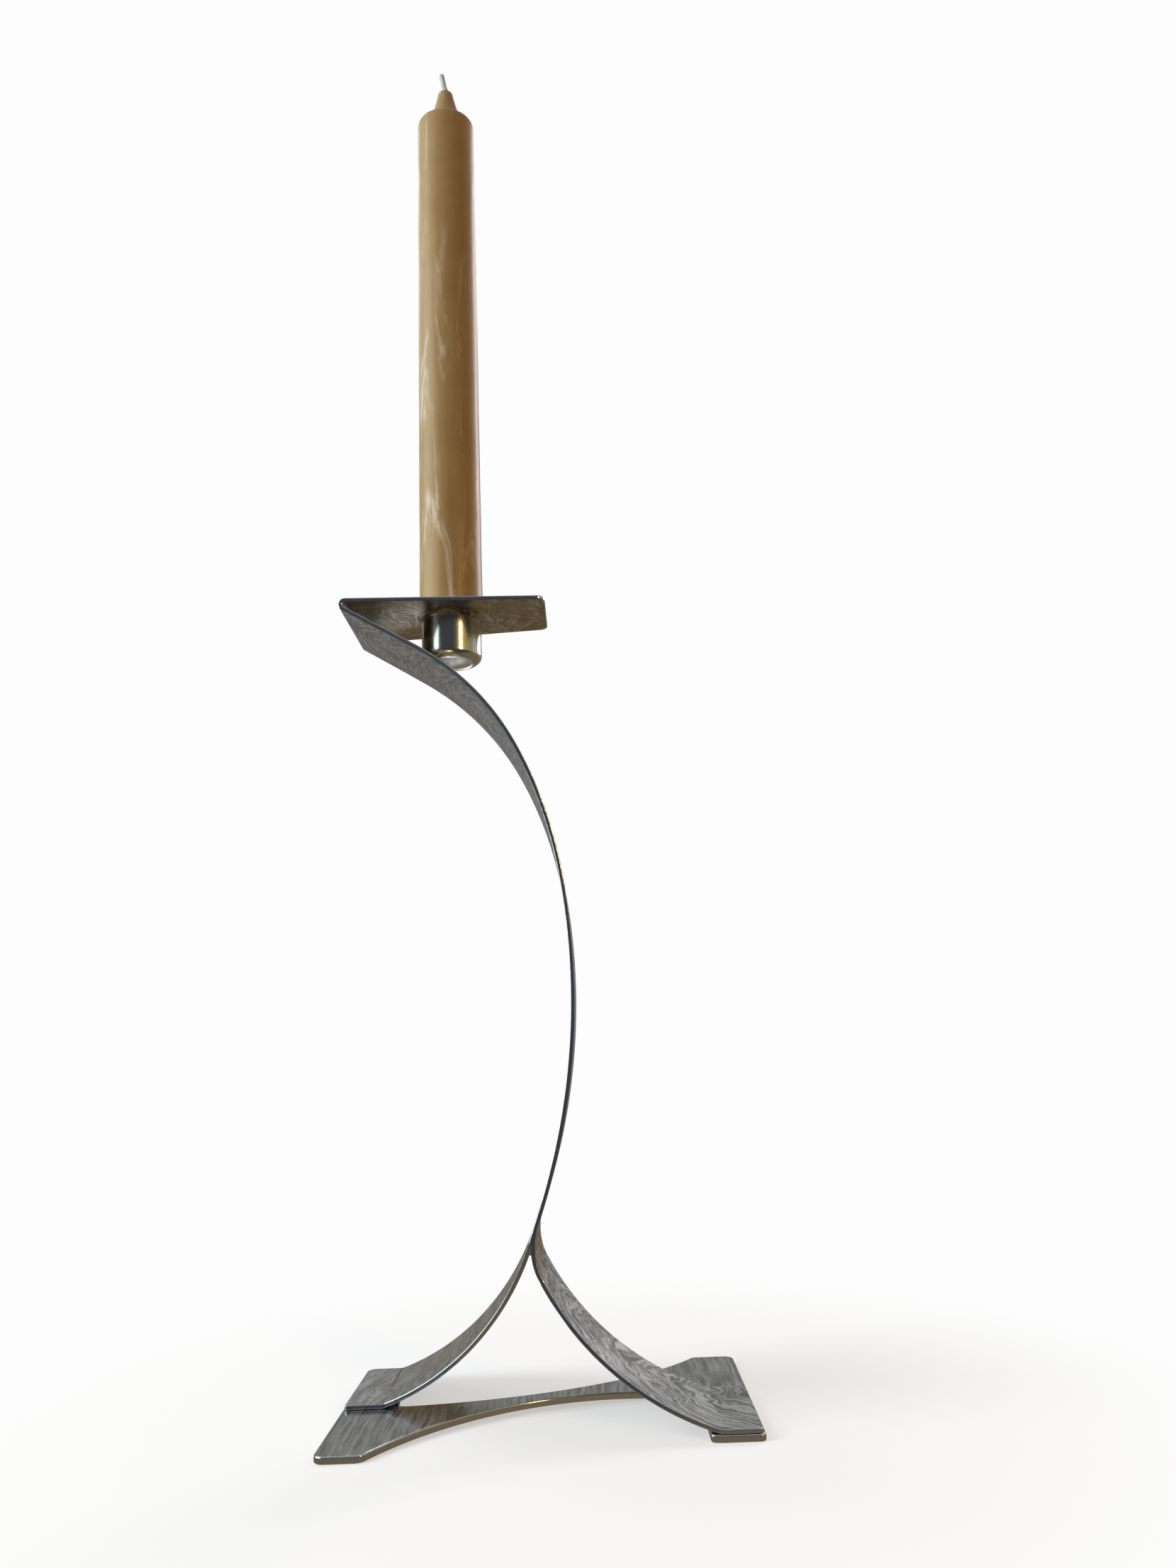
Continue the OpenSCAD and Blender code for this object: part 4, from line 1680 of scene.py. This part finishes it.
@dataclass
class Candle:
    """The candle and its wick. Sizes in millimetres."""

    top_r: float = 10.7
    body_l: float = 197.6
    crown_l: float = 2.0
    neck_r: float = 7.0
    foot_edge: float = 1.8
    wick_r: float = 1.1
    lean: float = 10.0
    cup_wall: float = 0.8
    foot_clear: float = 0.2
    centre: tuple[float, float] = field(init=False)
    r: float = field(init=False)
    low: float = field(init=False)
    high: float = field(init=False)
    plate_top: float = field(init=False)
    foot_r: float = field(init=False)

    def __post_init__(self) -> None:
        """Takes the candle's place from the frame."""
        low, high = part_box("candle")
        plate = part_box("main_strip")[1]
        cup_low, cup_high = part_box("candle_cup")
        self.centre = ((low.x + high.x) / 2 / MM, 0.0)
        self.r = (high.x - low.x) / 2 / MM
        self.low, self.high, self.plate_top = low.z / MM, high.z / MM, plate.z / MM
        self.foot_r = (cup_high.x - cup_low.x) / 2 / MM - self.cup_wall - self.foot_clear

    def wax(self) -> bpy.types.Object:
        """The wax: foot, shoulder on the plate, tapering body, crown and conical tip.

        Returns:
            The piece.
        """
        shoulder = self.plate_top + self.body_l
        neck, end_r, end_l = self.neck_r, self.wick_r + 1.9, 1.6
        quarter = np.radians(np.linspace(0.0, 90.0, 12))
        end = np.radians(np.linspace(0.0, 90.0, 10))
        cone = np.linspace(0.0, 1.0, 14)[1:-1]
        cone_r = neck + (end_r - neck) * cone - 0.35 * np.sin(np.pi * cone)
        cone_z = shoulder + self.crown_l + (self.high - end_l - shoulder - self.crown_l) * cone
        profile = np.concatenate(
            [
                [[self.wick_r * 0.9, self.low], [self.foot_r - self.foot_edge, self.low]],
                [[self.foot_r, self.low + self.foot_edge], [self.foot_r, self.plate_top]],
                [[self.r - 0.25, self.plate_top], [self.r, self.plate_top + 0.2]],
                np.stack(
                    [np.linspace(self.r, self.top_r, 90), np.linspace(self.plate_top + 0.5, shoulder, 90)], 1
                ),
                np.stack(
                    [
                        neck + (self.top_r - neck) * np.cos(quarter),
                        shoulder + self.crown_l * np.sin(quarter),
                    ],
                    1,
                )[1:],
                np.stack([cone_r, cone_z], 1),
                np.stack(
                    [
                        self.wick_r + (end_r - self.wick_r) * np.cos(end),
                        self.high - end_l * (1 - np.sin(end)),
                    ],
                    1,
                ),
                [[self.wick_r * 0.9, self.high - 0.6]],
            ]
        )

        def uneven(turn: Array, place: Array) -> Array:
            """Slow dents round and up the body, none at the shoulder that sits on the plate.

            Args:
                turn: angle round the candle.
                place: radius and height.

            Returns:
                The radial move in millimetres.
            """
            up = (place[..., 1] - self.plate_top) / (self.high - self.plate_top)
            free = np.clip(up * 12, 0, 1) * np.clip((self.high - place[..., 1]) / 4, 0, 1)
            around = turn / (2 * np.pi)
            slow = 0.05 * ripple(around + 0.35 * up, 21, 4)
            return free * (slow + 0.04 * ripple(around - up * 2, 22, 4) - 0.06)

        surface = turned("wax_body", profile, self.centre, 160, uneven, closed=True)
        return CandleWax().dress(surface.piece(), "candle", "wax", "candle")

    def braid(self) -> bpy.types.Object:
        """The wick: a circle carried up the axis and over along a leaning line.

        Its radius ripples with the strands and narrows at the free end.

        Returns:
            The piece.
        """
        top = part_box("wick")[1].z / MM
        bend = self.high + 0.2
        count, around = 260, 24
        length = (bend - self.low) + (top - bend) / math.cos(math.radians(self.lean))
        s = np.linspace(0.0, length, count)[:, None]
        turn = np.linspace(0.0, 2 * np.pi, around, endpoint=False)[None]
        past = np.clip(s - (bend - self.low), 0, None)
        lean = math.radians(self.lean) * np.clip(past / 2.5, 0, 1) ** 0.8
        x = self.centre[0] - past * np.sin(lean)
        z = self.low + np.minimum(s, bend - self.low) + past * np.cos(lean)
        end = np.clip((length - s) / 0.9, 0.0, 1.0) ** 0.5
        start = np.clip(s / 0.5, 0.0, 1.0) ** 0.5
        strands = 0.04 * np.cos(3 * turn + s * 2.2) * np.cos(3 * turn - s * 2.2)
        radius = (self.wick_r - 0.12 * np.clip(past / 4, 0, 1) + strands) * np.minimum(end, start)
        dx, dy = radius * np.cos(turn), radius * np.sin(turn)
        points = np.stack([x + dx * np.cos(lean), dy + 0 * s, z + dx * np.sin(lean)], -1)
        number = np.arange(count * around).reshape(count, around)
        number[0], number[-1] = number[0, 0], number[-1, 0]
        after = np.roll(number, -1, 1)
        quads = np.stack([number[:-1], after[:-1], after[1:], number[1:]], -1).reshape(-1, 4)
        first, last = quads[:, 0] == quads[:, 1], quads[:, 2] == quads[:, 3]
        quads[first] = quads[first][:, [0, 2, 3, 3]]
        flat = points.reshape(-1, 3)
        blank = np.stack([turn + 0 * s, s / 10 + 0 * turn, 0 * s + 0 * turn], -1)
        surface = Surface("wick_braid", flat, None, quads, blank.reshape(-1, 3), np.zeros(len(flat)))
        return WickCotton().dress(surface.piece(), "candle", "cotton", "wick")

    def build(self) -> list[bpy.types.Object]:
        """Makes the wax and the wick.

        Returns:
            The two pieces.
        """
        return [self.wax(), self.braid()]


# ---------------------------------------------------------------------------------------------
# The studio
# ---------------------------------------------------------------------------------------------


@dataclass(frozen=True)
class SoftBox:
    """A rectangular soft light that faces the object. Lengths in metres."""

    name: str
    at: tuple[float, float, float]
    size: tuple[float, float]
    power: float
    colour: Colour = (1.0, 1.0, 1.0)
    aim: tuple[float, float, float] = (0.0, 0.0, 0.2)
    mirrored: bool = True
    lit: bool = True

    def build(self) -> None:
        """Hangs the light."""
        lamp = bpy.data.lights.new(self.name, "AREA")
        lamp.shape, lamp.size, lamp.size_y = "RECTANGLE", *self.size
        lamp.energy, lamp.color = self.power, self.colour
        hung = bpy.data.objects.new(self.name, lamp)
        hung.location = self.at
        hung.rotation_euler = (Vector(self.aim) - Vector(self.at)).to_track_quat("-Z", "Y").to_euler()
        hung.visible_camera = False
        hung.visible_glossy, hung.visible_diffuse = self.mirrored, self.lit
        bpy.context.scene.collection.objects.link(hung)


@dataclass
class Studio:
    """The pale floor, the soft light and the camera."""

    eye: tuple[float, float, float] = (0.01711, -0.38921, 0.10877)
    yaw: float = -0.35
    pitch: float = 12.226
    roll: float = -2.104
    lens: float = 27.03
    floor_tone: Colour = (0.93, 0.93, 0.93)
    backdrop_tone: Colour = (0.98, 0.98, 0.98)
    boxes: tuple[SoftBox, ...] = (
        SoftBox("daylight", (-1.3, -0.35, 0.75), (0.9, 1.1), 22.0, (0.86, 0.95, 1.0), mirrored=False),
        SoftBox("window", (-1.3, -0.30, 0.60), (1.5, 1.5), 11.0, (0.82, 0.96, 1.0), lit=False),
        SoftBox("side", (0.9, 1.0, 1.0), (0.5, 0.9), 7.0, (1.0, 0.97, 1.0), (0.0, 0.0, 0.4)),
        SoftBox("rear", (-0.2, 1.3, 1.7), (2.2, 0.7), 8.0, (1.0, 0.99, 0.97)),
        SoftBox("lamp", (0.75, -0.9, 0.5), (0.10, 0.4), 3.0, (1.0, 0.58, 0.22)),
    )

    def _camera(self) -> None:
        """Sets the camera up by its place and its yaw, pitch and roll in degrees."""
        yaw, pitch, roll = map(math.radians, (self.yaw, self.pitch, self.roll))
        level = np.array([math.cos(yaw), math.sin(yaw), 0.0])
        ahead = np.array(
            [-math.sin(yaw) * math.cos(pitch), math.cos(yaw) * math.cos(pitch), math.sin(pitch)]
        )
        above = np.cross(level, ahead)
        right = level * math.cos(roll) + above * math.sin(roll)
        up = above * math.cos(roll) - level * math.sin(roll)
        turn = np.eye(4)
        turn[:3, :3] = np.stack([right, up, -ahead], 1)
        turn[:3, 3] = self.eye
        data = bpy.data.cameras.new("camera")
        data.lens, data.sensor_width, data.clip_start = self.lens, 36.0, 0.01
        camera = bpy.data.objects.new("camera", data)
        camera.matrix_world = Matrix(turn.tolist())
        bpy.context.scene.collection.objects.link(camera)
        bpy.context.scene.camera = camera

    def _floor(self) -> None:
        """Lays the floor: pale to the eye, and a mid brown to the metal that it is seen in."""
        mesh = bpy.data.meshes.new("floor")
        far = 6.0
        corners = [(-far, -far, 0), (far, -far, 0), (far, far, 0), (-far, far, 0)]
        mesh.from_pydata(corners, [], [(0, 1, 2, 3)])
        floor = bpy.data.objects.new("floor", mesh)
        bpy.context.scene.collection.objects.link(floor)
        made = bpy.data.materials.new("pale_floor")
        made.use_nodes = True
        tree = Tree(made.node_tree)
        path = tree.node("ShaderNodeLightPath", {}, {})
        eye = Number(tree, path.outputs["Is Camera Ray"])
        mirrored = Number(tree, path.outputs["Is Glossy Ray"])
        place = tree.node("ShaderNodeTexCoord", {}, {}).outputs["Object"]
        away = tree.number("ShaderNodeVectorMath", {"operation": "LENGTH"}, {0: place}, "Value")
        depth = tree.parts(place)[1]
        pale = tree.node("ShaderNodeBsdfDiffuse", {}, {"Color": (*self.floor_tone, 1.0)})
        far_off = tree.node("ShaderNodeEmission", {}, {"Color": (*self.backdrop_tone, 1.0)})
        fade = away.rise(0.07, 0.22) * 0.5 + 0.5
        swept = tree.node(
            "ShaderNodeMixShader", {}, {0: fade, 1: pale.outputs[0], 2: far_off.outputs[0]}
        )
        table = tree.blend(away.rise(0.9, 1.6), (0.17, 0.130, 0.080), (0.20, 0.20, 0.195))
        table = tree.blend(depth.rise(-0.16, 0.0), (0.040, 0.044, 0.056), table)
        table = tree.blend(mirrored, (0.10, 0.08, 0.06), table)
        warm = tree.node("ShaderNodeEmission", {}, {"Color": table, "Strength": 1.0})
        both = tree.node("ShaderNodeMixShader", {}, {0: eye, 1: warm.outputs[0], 2: swept.outputs[0]})
        tree.node("ShaderNodeOutputMaterial", {}, {"Surface": both.outputs[0]})
        mesh.materials.append(made)

    def _surroundings(self) -> None:
        """Sets the world: a pale backdrop, and for the metal a room of greys by direction."""
        world = bpy.data.worlds.new("studio")
        world.use_nodes = True
        bpy.context.scene.world = world
        tree = Tree(world.node_tree)
        way = tree.node("ShaderNodeTexCoord", {}, {}).outputs["Generated"]
        x, y, z = tree.parts(way)
        path = tree.node("ShaderNodeLightPath", {}, {})
        seen = Number(tree, path.outputs["Is Camera Ray"])
        mirrored = Number(tree, path.outputs["Is Glossy Ray"])
        room = tree.blend(y.rise(-0.35, 0.6), (0.040, 0.044, 0.056), (0.22, 0.22, 0.21))
        room = tree.blend(z.rise(0.35, 0.85), room, (0.30, 0.31, 0.33))
        room = tree.blend(x.rise(0.5, 0.9) * y.rise(-0.3, 0.3) * 0.7, room, (0.55, 0.53, 0.48))
        room = tree.blend(x.rise(0.25, 0.7) * y.fall(-0.3, 0.2) * 0.9, room, (0.36, 0.30, 0.14))
        dim = tree.blend(x.rise(-0.5, 0.7), (0.50, 0.48, 0.44), (0.05, 0.035, 0.02))
        room = tree.blend(mirrored, dim, room)
        pale = tree.node("ShaderNodeBackground", {}, {0: (*self.backdrop_tone, 1.0), 1: 1.0})
        greys = tree.node("ShaderNodeBackground", {}, {0: room, 1: 1.0})
        both = tree.node("ShaderNodeMixShader", {}, {0: seen, 1: greys.outputs[0], 2: pale.outputs[0]})
        tree.node("ShaderNodeOutputWorld", {}, {"Surface": both.outputs[0]})

    def build(self) -> None:
        """Sets the stage."""
        self._camera()
        self._floor()
        self._surroundings()
        for box in self.boxes:
            box.build()
        view = bpy.context.scene.view_settings
        view.view_transform, view.look, view.exposure = "Standard", "None", 0.0


def main() -> None:
    """Builds the studio and the object."""
    logging.basicConfig(level=logging.INFO, format="%(name)s: %(message)s")
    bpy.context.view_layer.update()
    Studio().build()
    BasePlate().build()
    strips = BentStrips()
    strips.build()
    Cup().build()
    SolderWork(strips).build()
    Candle().build()
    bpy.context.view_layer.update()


if __name__ == "__main__":
    main()
